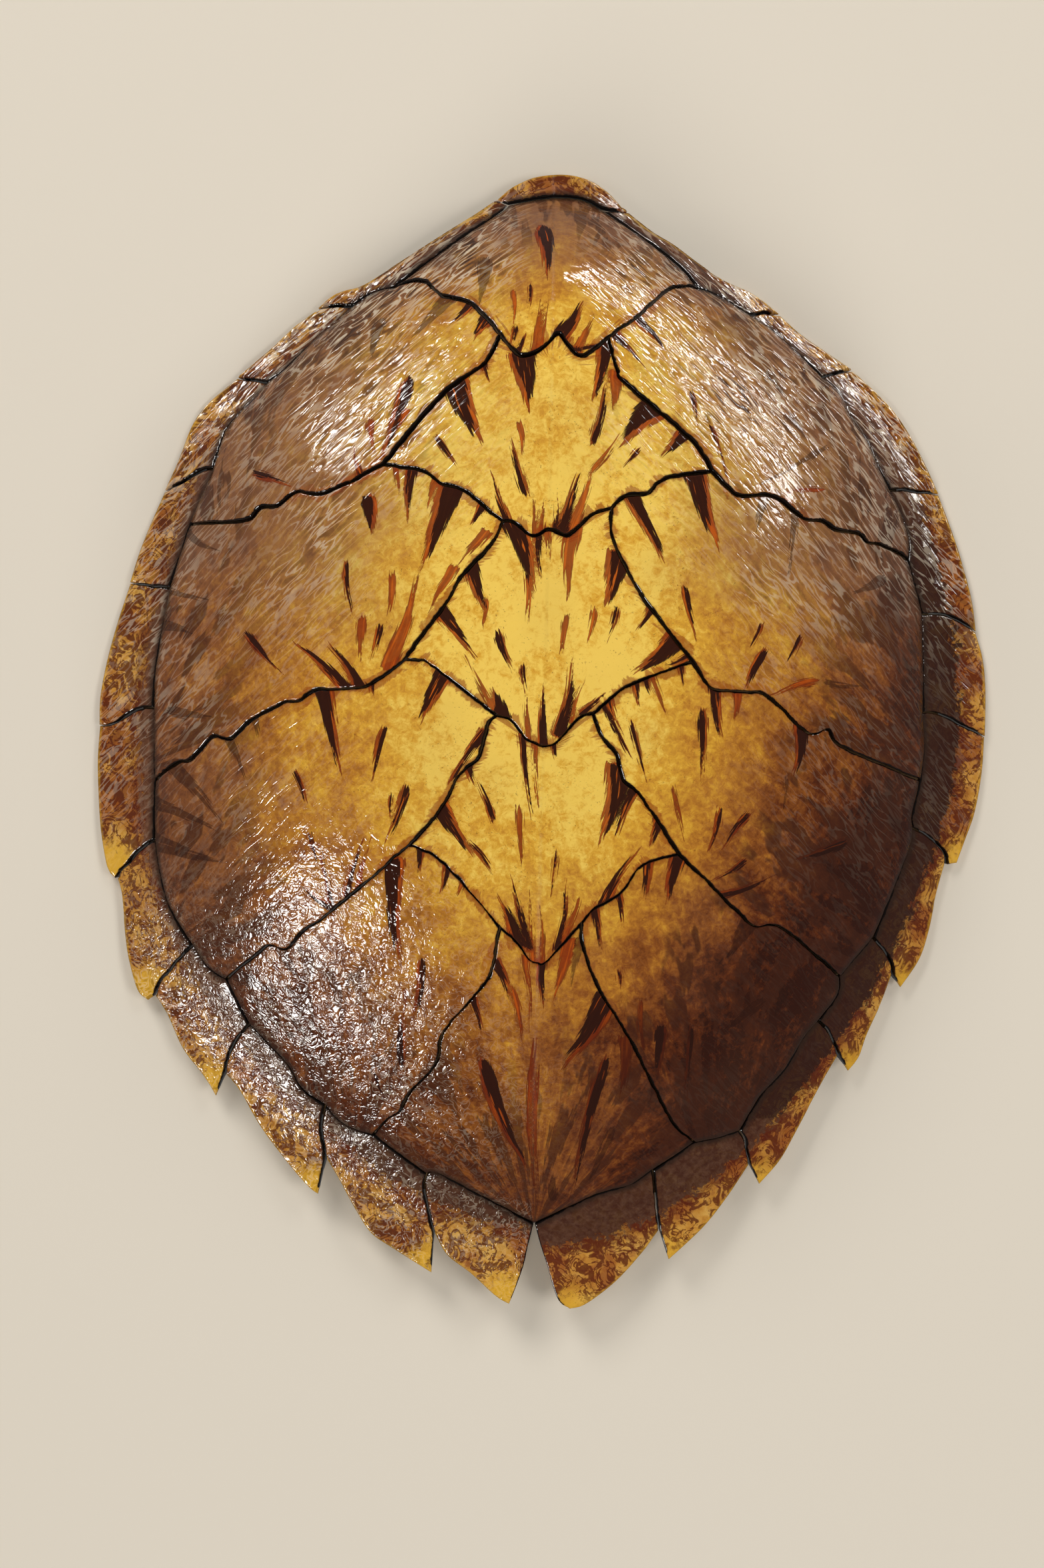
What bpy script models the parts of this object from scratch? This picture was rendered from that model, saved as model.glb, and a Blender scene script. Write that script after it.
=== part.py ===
"""Carapace of a sea turtle, dry, lying on its rim with the dome up.

One fused bony shield with a ribbed hollow underneath, covered by thirty-six horny scutes: a
nuchal in front, a row of five vertebrals, four costals a side and eleven marginals a side.
Metres, +Z up, the head end towards +Y, resting on the plane z = 0.
"""
import math

import bpy
from mathutils import Vector
from mathutils.geometry import delaunay_2d_cdt

# ---------------------------------------------------------------- driving dimensions, mm
LENGTH = 700.0              # nuchal rim to the tips of the tail scutes; scales the whole part
METRES = LENGTH / 700.0 / 1000.0    # one unit of the plan below, in metres
DOME_HEIGHT = 150.0         # crown of the disc above the floor
KEEL_HEIGHT = 2.4           # low ridge of horn along the middle of the vertebrals
KEEL_WIDTH = 12.0

SCUTE_FRONT = 2.2           # horn thickness at a scute's front edge
SCUTE_RISE = 1.7            # extra thickness at its rear edge, which overlaps the next scute
SEAM_GAP = 0.8              # groove between neighbours
RIM_HORN = 6.2              # marginal where it wraps over the edge of the bone
RIM_EDGE = 4.6              # marginal at its free rim

BONE = 5.5                  # bony shield under the disc
BONE_EDGE = 2.4             # the same where it tapers out under the marginals
BONE_REACH = 0.30           # how far the bone reaches across the marginal ring, 0 to 1
BONE_GAP = 1.1              # between bone and horn
SPINE_RIDGE = 4.0           # ridge of the backbone under the bone
RIB_RIDGE = 3.2             # ridges of the eight rib pairs under the bone
RIB_STARTS = (225, 170, 112, 54, -4, -62, -118, -172)       # y of each rib at the backbone
RIB_SWEEPS = (0.22, 0.12, 0.05, 0.0, -0.08, -0.2, -0.36, -0.55)

SEAM_STEP = 10.5            # spacing of points along the seams
SCUTE_STEP = 21.0           # spacing of points inside a scute
BONE_STEP = 22.0            # spacing of points over the bone
BONE_SIDES = 76             # points round the edge of the bone
RIB_POINTS = 10             # points along each rib and valley, on either side of the backbone
RIB_FIRST = 14.0            # first of them from the midline
RIB_STEP = 26.0             # and their spacing
END_POINTS = ((0, 285), (34, 268), (75, 262), (0, -215), (0, -250), (30, -240))    # ends of the backbone
MARGIN_STEP = 13.0          # the same inside a marginal
EDGE_ROW = 6.5              # first row of points in from a free rim

# Gauge of the dome in plan: radius from CENTRE every 15 degrees, clockwise from the head.
CENTRE = (0.0, 45.0)
DISC_RADII = (280, 262, 244, 243, 237, 232, 232, 239, 251, 265, 289, 317,
               327, 313, 289, 275, 263, 244, 234, 231, 234, 241, 242, 262)
RIM_RADII = (304, 285, 263, 266, 269, 269, 275, 280, 285, 298, 323, 357,
             372, 353, 330, 318, 301, 284, 271, 261, 261, 262, 264, 284)

COLOURS = {                 # base colour and roughness of each material
    "bone": ((0.72, 0.62, 0.45), 0.75),
    "horn_amber": ((0.56, 0.33, 0.07), 0.25),
    "horn_brown": ((0.30, 0.16, 0.06), 0.28),
    "horn_margin": ((0.46, 0.27, 0.08), 0.32),
}

# Where the seams of the horn meet: named points in plan, mm, x to the animal's right, y to the head.
JUNCTIONS = {
    "l_nu": (-28, 329), "l_k1": (-97, 272), "l_m1": (-121, 264), "l_m2": (-172, 214),
    "l_m3": (-204, 160), "l_k2": (-218, 126), "l_m4": (-230, 87), "l_m5": (-237, 13),
    "l_k3": (-235, -31), "l_m6": (-235, -68), "l_m7": (-210, -131), "l_k4": (-188, -151),
    "l_m8": (-174, -178), "l_m9": (-127, -226), "l_k5": (-97, -243), "l_m10": (-64, -266),
    "tail": (2, -296), "r_nu": (30, 327), "r_k1": (89, 274), "r_m1": (122, 263), "r_m2": (167, 225),
    "r_m3": (209, 156), "r_k2": (222, 114), "r_m4": (232, 81), "r_m5": (232, 20), "r_k3": (232, -21),
    "r_m6": (228, -50), "r_m7": (205, -117), "r_k4": (184, -141), "r_m8": (172, -168),
    "r_m9": (126, -237), "r_k5": (98, -243), "r_m10": (73, -260), "l_j12": (-29, 225),
    "r_j12": (32, 225), "l_j23": (-25, 116), "r_j23": (35, 125), "l_j34": (-26, 9), "r_j34": (27, 11),
    "l_j45": (-22, -110), "r_j45": (24, -106), "l_t2": (-93, 149), "l_t3": (-78, 39),
    "l_t4": (-75, -65), "r_t2": (91, 149), "r_t3": (83, 40), "r_t4": (78, -66),
}

# The ring seam between the disc and the marginals, piece by piece from the nuchal to the tail:
# from one junction, through these points, to the next junction.
RING = [
    ("l_nu", [(-38, 319)], "l_k1"),
    ("l_k1", [(-110, 271)], "l_m1"),
    ("l_m1", [(-149, 236), (-161, 222)], "l_m2"),
    ("l_m2", [(-195, 189), (-200, 178)], "l_m3"),
    ("l_m3", [], "l_k2"),
    ("l_k2", [], "l_m4"),
    ("l_m4", [(-237, 37)], "l_m5"),
    ("l_m5", [], "l_k3"),
    ("l_k3", [], "l_m6"),
    ("l_m6", [(-227, -104)], "l_m7"),
    ("l_m7", [(-200, -144)], "l_k4"),
    ("l_k4", [], "l_m8"),
    ("l_m8", [(-150, -202), (-142, -216)], "l_m9"),
    ("l_m9", [(-115, -238)], "l_k5"),
    ("l_k5", [], "l_m10"),
    ("l_m10", [(-53, -267)], "tail"),
    ("r_nu", [(77, 291)], "r_k1"),
    ("r_k1", [(105, 271)], "r_m1"),
    ("r_m1", [(139, 253)], "r_m2"),
    ("r_m2", [(179, 215), (185, 199), (195, 185), (201, 170)], "r_m3"),
    ("r_m3", [(218, 141), (223, 126)], "r_k2"),
    ("r_k2", [], "r_m4"),
    ("r_m4", [], "r_m5"),
    ("r_m5", [(234, 0)], "r_k3"),
    ("r_k3", [(227, -41)], "r_m6"),
    ("r_m6", [(226, -64)], "r_m7"),
    ("r_m7", [], "r_k4"),
    ("r_k4", [(183, -153)], "r_m8"),
    ("r_m8", [(162, -180), (153, -197), (137, -216)], "r_m9"),
    ("r_m9", [(112, -241)], "r_k5"),
    ("r_k5", [], "r_m10"),
    ("r_m10", [(59, -270), (39, -276)], "tail"),
]
NUCHAL_SEAM = [(-1, 334), (13, 334), (21, 332)]

# The seams of the disc: v_ vertebral, c_ costal, l_ left, r_ right.
SEAMS = {
    "v1_v2": ("l_j12", [(-20, 213), (-14, 211), (-6, 214), (2, 223), (5, 223), (12, 214), (17, 212),
        (22, 215)], "r_j12"),
    "v2_v3": ("l_j23", [(-20, 116), (-8, 108), (0, 112), (11, 109), (23, 120)], "r_j23"),
    "v3_v4": ("l_j34", [(-17, 6), (-10, -3), (-4, -6), (2, -7), (8, -4), (20, 9)], "r_j34"),
    "v4_v5": ("l_j45", [(-12, -118), (-5, -127), (0, -129), (5, -128)], "r_j45"),
    "l_v1_c1": ("l_k1", [(-84, 272), (-74, 268), (-64, 255), (-47, 247)], "l_j12"),
    "l_c1_v2": ("l_j12", [(-38, 207), (-61, 189)], "l_t2"),
    "l_v2_c2": ("l_t2", [(-71, 145), (-59, 137), (-47, 133)], "l_j23"),
    "l_c2_v3": ("l_j23", [(-32, 102), (-48, 84), (-55, 71)], "l_t3"),
    "l_v3_c3": ("l_t3", [(-70, 39), (-63, 36)], "l_j34"),
    "l_c3_v4": ("l_j34", [(-31, 4), (-34, -10), (-37, -16), (-46, -24), (-58, -46)], "l_t4"),
    "l_v4_c4": ("l_t4", [(-68, -66), (-52, -76)], "l_j45"),
    "l_c4_v5": ("l_j45", [(-26, -134), (-30, -143), (-53, -173), (-58, -193), (-74, -213), (-80, -225),
        (-88, -232)], "l_k5"),
    "l_c1_c2": ("l_t2", [(-126, 134), (-144, 136), (-156, 129), (-167, 129), (-178, 122)], "l_k2"),
    "l_c2_c3": ("l_t3", [(-100, 24), (-128, 22), (-139, 16), (-147, 15), (-168, 5), (-180, -5),
        (-186, -6), (-192, -4), (-197, -7), (-209, -19), (-217, -20)], "l_k3"),
    "l_c3_c4": ("l_t4", [(-119, -104), (-137, -117), (-145, -127), (-150, -129), (-157, -127),
        (-163, -130)], "l_k4"),
    "r_v1_c1": ("r_k1", [(77, 270), (67, 263), (50, 242)], "r_j12"),
    "r_c1_v2": ("r_j12", [(37, 205), (42, 197), (80, 166)], "r_t2"),
    "r_v2_c2": ("r_t2", [(65, 143), (54, 134), (42, 132)], "r_j23"),
    "r_c2_v3": ("r_j23", [(36, 107), (54, 75)], "r_t3"),
    "r_v3_c3": ("r_t3", [(78, 40), (46, 27)], "r_j34"),
    "r_c3_v4": ("r_j34", [(32, -1), (41, -12), (45, -25), (55, -34)], "r_t4"),
    "r_v4_c4": ("r_t4", [(57, -73), (45, -89), (31, -98)], "r_j45"),
    "r_c4_v5": ("r_j45", [(26, -123), (37, -148), (55, -176), (78, -220), (86, -232)], "r_k5"),
    "r_c1_c2": ("r_t2", [(102, 139), (109, 136), (127, 138), (146, 127), (157, 127), (169, 123),
        (183, 123), (189, 119), (199, 119)], "r_k2"),
    "r_c2_c3": ("r_t3", [(90, 30), (96, 26), (114, 26), (126, 24), (149, 6), (156, 4), (165, 7),
        (175, -3)], "r_k3"),
    "r_c3_c4": ("r_t4", [(114, -99), (126, -108), (143, -110)], "r_k4"),
}

# The seams between marginals, each from its ring junction out to the rim.
CROSS = {
    "l_nu": [(-33, 331), (-38, 330)],
    "l_m1": [(-139, 264), (-147, 262)],
    "l_m2": [(-194, 220)],
    "l_m3": [(-214, 159), (-238, 148)],
    "l_m4": [(-258, 91)],
    "l_m5": [(-249, 12), (-266, 3), (-275, 2)],
    "l_m6": [(-241, -71), (-256, -85), (-262, -93)],
    "l_m7": [(-230, -153), (-236, -165)],
    "l_m8": [(-182, -188), (-188, -199), (-191, -212)],
    "l_m9": [(-129, -240), (-127, -262)],
    "l_m10": [(-65, -278), (-59, -306)],
    "r_nu": [(47, 325)],
    "r_m1": [(131, 266), (143, 266)],
    "r_m2": [(178, 230), (189, 233)],
    "r_m3": [(222, 158), (244, 157)],
    "r_m4": [(245, 82), (257, 79), (269, 72)],
    "r_m5": [(245, 20), (276, 7)],
    "r_m6": [(237, -54), (246, -60), (252, -67), (253, -73)],
    "r_m7": [(214, -127), (219, -135), (221, -142)],
    "r_m8": [(180, -177), (188, -192)],
    "r_m9": [(130, -244), (134, -260)],
    "r_m10": [(79, -301)],
}

# The free rim of each marginal between its two cross seams, head to tail; from the sixth on the
# last point is the tip of the tooth that stands past the next cross seam.
RIM = {
    "nuchal": [(-29, 339), (-21, 344), (-11, 348), (3, 350), (15, 349), (26, 345), (37, 337)],
    "l_1": [(-48, 322), (-69, 308), (-86, 297), (-102, 287), (-117, 278), (-129, 275), (-137, 271)],
    "l_2": [(-160, 252), (-172, 240), (-184, 229)],
    "l_3": [(-208, 208), (-217, 198), (-223, 187), (-230, 167)],
    "l_4": [(-247, 126), (-253, 109)],
    "l_5": [(-265, 68), (-271, 44), (-275, 20)],
    "l_6": [(-276, -19), (-275, -40), (-273, -62), (-269, -83), (-266, -90)],
    "l_7": [(-259, -103), (-256, -128), (-253, -144), (-247, -162), (-240, -168)],
    "l_8": [(-228, -177), (-218, -197), (-204, -214), (-196, -226)],
    "l_9": [(-182, -222), (-168, -244), (-151, -265), (-138, -279), (-131, -284)],
    "l_10": [(-118, -276), (-108, -293), (-98, -307), (-84, -316), (-60, -330)],
    "l_11": [(-51, -319), (-36, -330), (-21, -343), (-12, -348)],
    "r_1": [(62, 313), (75, 306), (91, 295), (107, 286), (125, 279)],
    "r_2": [(156, 255), (172, 244)],
    "r_3": [(211, 213), (224, 196), (235, 176)],
    "r_4": [(252, 137), (259, 117), (266, 92)],
    "r_5": [(274, 55), (276, 35)],
    "r_6": [(275, -15), (271, -40), (265, -58), (260, -72)],
    "r_7": [(248, -92), (244, -113), (238, -132), (226, -150)],
    "r_8": [(215, -159), (206, -179), (201, -193), (194, -202)],
    "r_9": [(178, -210), (163, -239), (153, -257), (140, -272)],
    "r_10": [(123, -277), (107, -298), (85, -319)],
    "r_11": [(69, -315), (53, -333), (35, -347), (25, -350)],
}
# The two sides of the open notch between the last marginals, from the tail out to each tip.
TAIL_SIDES = {"l": [(-1, -310), (-4, -325)], "r": [(6, -310), (10, -322), (17, -343)]}

# ---------------------------------------------------------------- the dome
def harmonics(table, orders=9):
    """Smooth closed curve through a table of radii, as cosine and sine terms."""
    n = len(table)
    turn = [2 * math.pi * i / n for i in range(n)]
    return [(2 / n * sum(r * math.cos(k * t) for r, t in zip(table, turn)),
             2 / n * sum(r * math.sin(k * t) for r, t in zip(table, turn))) for k in range(orders)]


DISC_TERMS = harmonics(DISC_RADII)
RIM_TERMS = harmonics(RIM_RADII)


def radius(terms, t):
    return terms[0][0] / 2 + sum(a * math.cos(k * t) + b * math.sin(k * t)
                                 for k, (a, b) in enumerate(terms) if k)


def polar(x, y):
    dx, dy = x - CENTRE[0], y - CENTRE[1]
    return math.hypot(dx, dy), math.atan2(dx, dy)


def ring_fraction(x, y):
    """0 on the ring seam, 1 on the rim, negative over the disc."""
    r, t = polar(x, y)
    disc = radius(DISC_TERMS, t)
    return (r - disc) / max(radius(RIM_TERMS, t) - disc, 10)


def dome(x, y):
    """Height of the horn's base surface: steep towards the head, gentle towards the tail."""
    r, t = polar(x, y)
    c = math.cos(t)
    disc = radius(DISC_TERMS, t)
    width = max(radius(RIM_TERMS, t) - disc, 10)
    seam_z = 27 - 5.5 * c + 5.5 * c * c
    rim_z = 4 + 12 * c ** 4 - 7 * c ** 3
    fall = 2.4 + 0.9 * c + 0.3 * c * c
    if r < disc:
        rho = r / disc
        drop = rho ** 2 * ((rho ** 2 + 0.015) / 1.015) ** ((fall - 2) / 2)
        return seam_z + (DOME_HEIGHT - seam_z) * (1 - drop)
    flare = fall * (DOME_HEIGHT - seam_z) * width / (disc * (seam_z - rim_z))
    flare = min(max(flare, 1.1), 2.2)
    q = (r - disc) / width
    return rim_z + (seam_z - rim_z) * (1 - min(q, 1)) ** flare - 2 * max(q - 1, 0)


def normal(x, y, d=0.5):
    return Vector((dome(x - d, y) - dome(x + d, y), dome(x, y - d) - dome(x, y + d), 2 * d)).normalized()


def on_dome(p, offset):
    """The plan point lifted to the dome and moved along its normal; nothing goes below the floor."""
    n = normal(*p)
    q = Vector((p[0], p[1], dome(*p))) + n * offset
    return Vector((q.x, q.y, max(q.z, 0.0)))


def smoothstep(a, b, v):
    v = min(max((v - a) / (b - a), 0), 1)
    return v * v * (3 - 2 * v)


# ---------------------------------------------------------------- curves in plan
def length_of(path):
    return sum(math.dist(a, b) for a, b in zip(path, path[1:]))


def along(path, t):
    """Point at fraction t of a path's length."""
    left = t * length_of(path)
    for a, b in zip(path, path[1:]):
        d = math.dist(a, b)
        if left <= d or b is path[-1]:
            f = left / d if d else 0
            return (a[0] + (b[0] - a[0]) * f, a[1] + (b[1] - a[1]) * f)
        left -= d


def spline(points, count=0, step=SEAM_STEP):
    """Smooth curve through the points, cut into equal lengths."""
    pts = [points[0], *points, points[-1]]
    fine = []
    for p0, p1, p2, p3 in zip(pts, pts[1:], pts[2:], pts[3:]):
        for i in range(6):
            t = i / 6
            fine.append(tuple(0.5 * (2 * b + (c - a) * t + (2 * a - 5 * b + 4 * c - d) * t * t
                                     + (3 * b - a - 3 * c + d) * t ** 3)
                              for a, b, c, d in zip(p0, p1, p2, p3)))
    fine.append(tuple(points[-1]))
    count = count or max(1, round(length_of(fine) / step))
    return [tuple(points[0])] + [along(fine, i / count) for i in range(1, count)] + [tuple(points[-1])]


def join(*paths):
    """One path from several that meet end to end."""
    out = list(paths[0])
    for path in paths[1:]:
        out += path[1:]
    return out


def around(*paths):
    """Closed outline from paths that follow each other; a path given backwards is turned."""
    out = list(paths[0])
    for path in paths[1:]:
        if math.dist(out[-1], path[0]) > 0.01:
            path = path[::-1]
        out += path[1:]
    return out[:-1]


J = JUNCTIONS
SEAM = {name: spline([J[a], *mid, J[b]]) for name, (a, mid, b) in SEAMS.items()}
RING_PART = {(a, b): spline([J[a], *mid, J[b]]) for a, mid, b in RING}
RING_PART["nuchal"] = spline([J["l_nu"], *NUCHAL_SEAM, J["r_nu"]])
CROSS_PATH = {key: spline([J[key], *points]) for key, points in CROSS.items()}
RING_ORDER = ("nu", "k1", "m1", "m2", "m3", "k2", "m4", "m5", "k3", "m6", "m7", "k4", "m8", "m9", "k5",
              "m10", "tail")


def ring_path(side, start, end):
    """The ring seam of one side between two junctions, towards the tail."""
    names = [n if n == "tail" else side + "_" + n for n in RING_ORDER]
    cut = names[RING_ORDER.index(start):RING_ORDER.index(end) + 1]
    return join(*(RING_PART[pair] for pair in zip(cut, cut[1:])))


# ---------------------------------------------------------------- closed meshes
def area_of(loop):
    return 0.5 * sum(a[0] * b[1] - b[0] * a[1] for a, b in zip(loop, loop[1:] + loop[:1]))


def inset(loop, gap):
    """The anticlockwise loop moved inwards by the gap."""
    out = []
    for a, b, c in zip(loop[-1:] + loop[:-1], loop, loop[1:] + loop[:1]):
        u = Vector((b[0] - a[0], b[1] - a[1])).normalized()
        v = Vector((c[0] - b[0], c[1] - b[1])).normalized()
        n = Vector((-u.y - v.y, u.x + v.x))
        n = n * (2 / max(n.length_squared, 0.25))
        out.append((b[0] + n.x * gap, b[1] + n.y * gap))
    return out


def inside(p, loop):
    odd = False
    for a, b in zip(loop, loop[1:] + loop[:1]):
        if (a[1] > p[1]) != (b[1] > p[1]) and p[0] < a[0] + (p[1] - a[1]) * (b[0] - a[0]) / (b[1] - a[1]):
            odd = not odd
    return odd


def distance(p, path):
    """From a point to an open path."""
    best = 1e9
    for a, b in zip(path, path[1:]):
        dx, dy = b[0] - a[0], b[1] - a[1]
        t = min(max(((p[0] - a[0]) * dx + (p[1] - a[1]) * dy) / (dx * dx + dy * dy), 0), 1)
        best = min(best, math.hypot(p[0] - a[0] - t * dx, p[1] - a[1] - t * dy))
    return best


def fill(loop, inner):
    """Triangles of the loop with the inner points; the loop's points come first."""
    points = [Vector(p) for p in loop + inner]
    verts, _, faces, origin, _, _ = delaunay_2d_cdt(points, [], [list(range(len(loop)))], 1, 1e-6)
    back = [o[0] for o in origin]
    return [tuple(back[i] for i in f) for f in faces]


def triangle_grid(loop, step, margin):
    """Staggered points inside the loop, clear of its edge."""
    xs, ys = [p[0] for p in loop], [p[1] for p in loop]
    closed = loop + loop[:1]
    out, row, y = [], 0, min(ys) + step / 2
    while y < max(ys):
        x = min(xs) + step / 2 * (row % 2)
        while x < max(xs):
            if inside((x, y), loop) and distance((x, y), closed) > margin:
                out.append((x, y))
            x += step
        y += step * 0.866
        row += 1
    return out


def solid(name, material, upper, lower, top_faces, bottom_faces, rim):
    """A closed body from an upper and a lower sheet whose outlines match point for point."""
    shift = len(upper)
    faces = [tuple(f) for f in top_faces] + [tuple(shift + i for i in reversed(f)) for f in bottom_faces]
    for a, b in zip(rim, rim[1:] + rim[:1]):
        # Neighbours share the direction of the diagonal, so their walls stay parallel.
        if upper[a].x + 0.7 * upper[a].y < upper[b].x + 0.7 * upper[b].y:
            faces += [(shift + a, shift + b, b), (shift + a, b, a)]
        else:
            faces += [(shift + a, shift + b, a), (shift + b, b, a)]
    mesh = bpy.data.meshes.new(name)
    mesh.from_pydata([p * METRES for p in upper + lower], [], faces)
    mesh.update()
    mesh.materials.append(MATERIALS[material])
    obj = bpy.data.objects.new(name, mesh)
    bpy.context.scene.collection.objects.link(obj)
    return obj


def keel(x, y):
    """Height of the low ridge of the vertebrals, which fades out at both ends."""
    ends = smoothstep(-300, -200, y) * smoothstep(335, 250, y)
    return KEEL_HEIGHT * math.exp(-(x / KEEL_WIDTH) ** 2) * ends


def rim_horn(p):
    """Thickness of a marginal: thin over the bone, thick where it wraps the bone's edge."""
    q = ring_fraction(*p)
    t = SCUTE_FRONT + (RIM_HORN - SCUTE_FRONT) * smoothstep(0.55, 0.72, q)
    return t + (RIM_EDGE - RIM_HORN) * smoothstep(0.85, 1.1, q)


def scute(name, material, outline, front, rear, rim=None):
    """A horny plate: flush with the bone below, rising above from its front edges to its rear.
    One of the ring has a rim, with a row of points that keeps its worn edge flat underneath."""
    if area_of(outline) < 0:
        outline = outline[::-1]
    loop = inset(outline, SEAM_GAP / 2)
    closed = loop + loop[:1]
    if rim:
        inner = [p for p in inset(loop, EDGE_ROW)
                 if inside(p, loop) and distance(p, rim) < 1.3 * EDGE_ROW
                 and distance(p, closed) > 0.85 * EDGE_ROW]
        inner += [p for p in triangle_grid(loop, MARGIN_STEP, MARGIN_STEP * 0.45)
                  if distance(p, rim) > 1.8 * EDGE_ROW]
    else:
        inner = triangle_grid(loop, SCUTE_STEP, SCUTE_STEP * 0.5)
    faces = fill(loop, inner)

    def rise(p):
        a = min(distance(p, path) for path in front)
        b = min(distance(p, path) for path in rear)
        return SCUTE_RISE * (a / (a + b)) ** 1.5

    plan = loop + inner
    upper = [on_dome(p, rise(p) + keel(*p)) for p in plan]
    lower = [on_dome(p, -(rim_horn(p) if rim else SCUTE_FRONT)) for p in plan]
    return solid(name, material, upper, lower, faces, faces, list(range(len(loop))))


# ---------------------------------------------------------------- the bony shield
def bone_depth(x, y):
    """Thickness of the bone with the ridges of the backbone and ribs below it."""
    q = ring_fraction(x, y)
    taper = 1 - smoothstep(-0.6, BONE_REACH, q)
    t = BONE_EDGE + (BONE - BONE_EDGE) * taper
    t += SPINE_RIDGE * math.exp(-(x / 12) ** 2) * taper * smoothstep(-285, -200, y)
    for start, sweep in zip(RIB_STARTS, RIB_SWEEPS):
        across = (y - start - sweep * abs(x)) / math.hypot(1, sweep)
        t += RIB_RIDGE * (1 - 0.5 * min(abs(x) / 230, 1)) * math.exp(-(across / 11) ** 2) * taper
    return t


def bone_loop(fraction):
    """A loop parallel to the ring seam; the bone stops short where the ring is narrow."""
    out = []
    for i in range(BONE_SIDES):
        t = -2 * math.pi * i / BONE_SIDES
        r = radius(DISC_TERMS, t)
        r += fraction * (max(radius(RIM_TERMS, t) - r, 10) - 9) * 1.25
        out.append((CENTRE[0] + r * math.sin(t), CENTRE[1] + r * math.cos(t)))
    return out


def rib_lines():
    """Each rib and the valley behind it, as its y at the backbone and its sweep."""
    ribs = list(zip(RIB_STARTS, RIB_SWEEPS))
    valleys = [((a + c) / 2, (b + d) / 2) for (a, b), (c, d) in zip(ribs, ribs[1:])]
    for rib, valley in zip(ribs, valleys):
        yield from (rib, valley)
    yield ribs[-1]


def under_points(clear):
    """Points below the bone, laid along the ribs and valleys and at both ends of the backbone."""
    points = []
    for start, sweep in rib_lines():
        points.append((0.0, start))
        for i in range(RIB_POINTS):
            x = RIB_FIRST + RIB_STEP * i
            pair = ((-x, start + sweep * x), (x, start + sweep * x))
            points += [p for p in pair if inside(p, clear)]
    for x, y in END_POINTS:
        points += [(x, y)] if x == 0 else [(-x, y), (x, y)]
    return points


def bony_shield():
    loop = bone_loop(BONE_REACH)
    crease = bone_loop(0.0)
    clear = bone_loop(-0.45)
    above = crease + triangle_grid(clear, BONE_STEP, BONE_STEP * 0.35)
    below = crease + under_points(clear)
    top = SCUTE_FRONT + BONE_GAP
    upper = [on_dome(p, -top) for p in loop + above]
    lower = [on_dome(p, -top - bone_depth(*p)) for p in loop + below]
    return solid("bony_carapace", "bone", upper, lower, fill(loop, above), fill(loop, below),
                 list(range(len(loop))))


# ---------------------------------------------------------------- build
for old in list(bpy.data.objects):
    bpy.data.objects.remove(old, do_unlink=True)

MATERIALS = {}
for label, (colour, roughness) in COLOURS.items():
    material = bpy.data.materials.new(label)
    material.use_nodes = True
    shader = material.node_tree.nodes["Principled BSDF"]
    shader.inputs["Base Color"].default_value = (*colour, 1.0)
    shader.inputs["Roughness"].default_value = roughness
    MATERIALS[label] = material

bony_shield()

# Nuchal and marginals: between the ring seam, two cross seams and the free rim.
nuchal_rim = spline([CROSS["l_nu"][-1], *RIM["nuchal"], CROSS["r_nu"][-1]])
scute("nuchal", "horn_margin",
      around(RING_PART["nuchal"], CROSS_PATH["r_nu"], nuchal_rim, CROSS_PATH["l_nu"]),
      [nuchal_rim], [RING_PART["nuchal"]], nuchal_rim)
ENDS = ("nu", "m1", "m2", "m3", "m4", "m5", "m6", "m7", "m8", "m9", "m10", "tail")
for side, word in (("l", "left"), ("r", "right")):
    for i in range(1, 12):
        first, last = ENDS[i - 1], ENDS[i]
        head_seam = CROSS_PATH[side + "_" + first]
        rim = spline([head_seam[-1], *RIM["%s_%d" % (side, i)]])
        if i == 11:
            rear = spline([J["tail"], *TAIL_SIDES[side], rim[-1]])
        elif i > 5:
            rear = CROSS_PATH[side + "_" + last]
            rear = join(rear, spline([rear[-1], rim[-1]]))
        else:
            rear = CROSS_PATH[side + "_" + last]
            rim = spline([head_seam[-1], *RIM["%s_%d" % (side, i)], rear[-1]])
        scute("marginal_%s_%d" % (word, i), "horn_margin",
              around(head_seam, rim, rear[::-1], ring_path(side, first, last)[::-1]),
              [head_seam], [rear], rim)

# Vertebrals, head to tail.
V = {k: SEAM["v%d_v%d" % (k, k + 1)] for k in range(1, 5)}
L = {k[2:]: p for k, p in SEAM.items() if k.startswith("l_")}
R = {k[2:]: p for k, p in SEAM.items() if k.startswith("r_")}
head_l, head_r = ring_path("l", "nu", "k1"), ring_path("r", "nu", "k1")
tail_l, tail_r = ring_path("l", "k5", "tail"), ring_path("r", "k5", "tail")

scute("vertebral_1", "horn_amber",
      around(head_l[::-1], RING_PART["nuchal"], head_r, R["v1_c1"], V[1], L["v1_c1"]),
      [head_l, RING_PART["nuchal"], head_r], [V[1], L["v1_c1"], R["v1_c1"]])
for k in (2, 3, 4):
    c_front, c_rear = "c%d_v%d" % (k - 1, k), "v%d_c%d" % (k, k)
    scute("vertebral_%d" % k, "horn_amber",
          around(V[k - 1], R[c_front], R[c_rear], V[k], L[c_rear], L[c_front]),
          [V[k - 1], L[c_front], R[c_front]], [V[k], L[c_rear], R[c_rear]])
scute("vertebral_5", "horn_brown",
      around(V[4], R["c4_v5"], tail_r, tail_l, L["c4_v5"]),
      [V[4], L["c4_v5"], R["c4_v5"]], [tail_l, tail_r])

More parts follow.
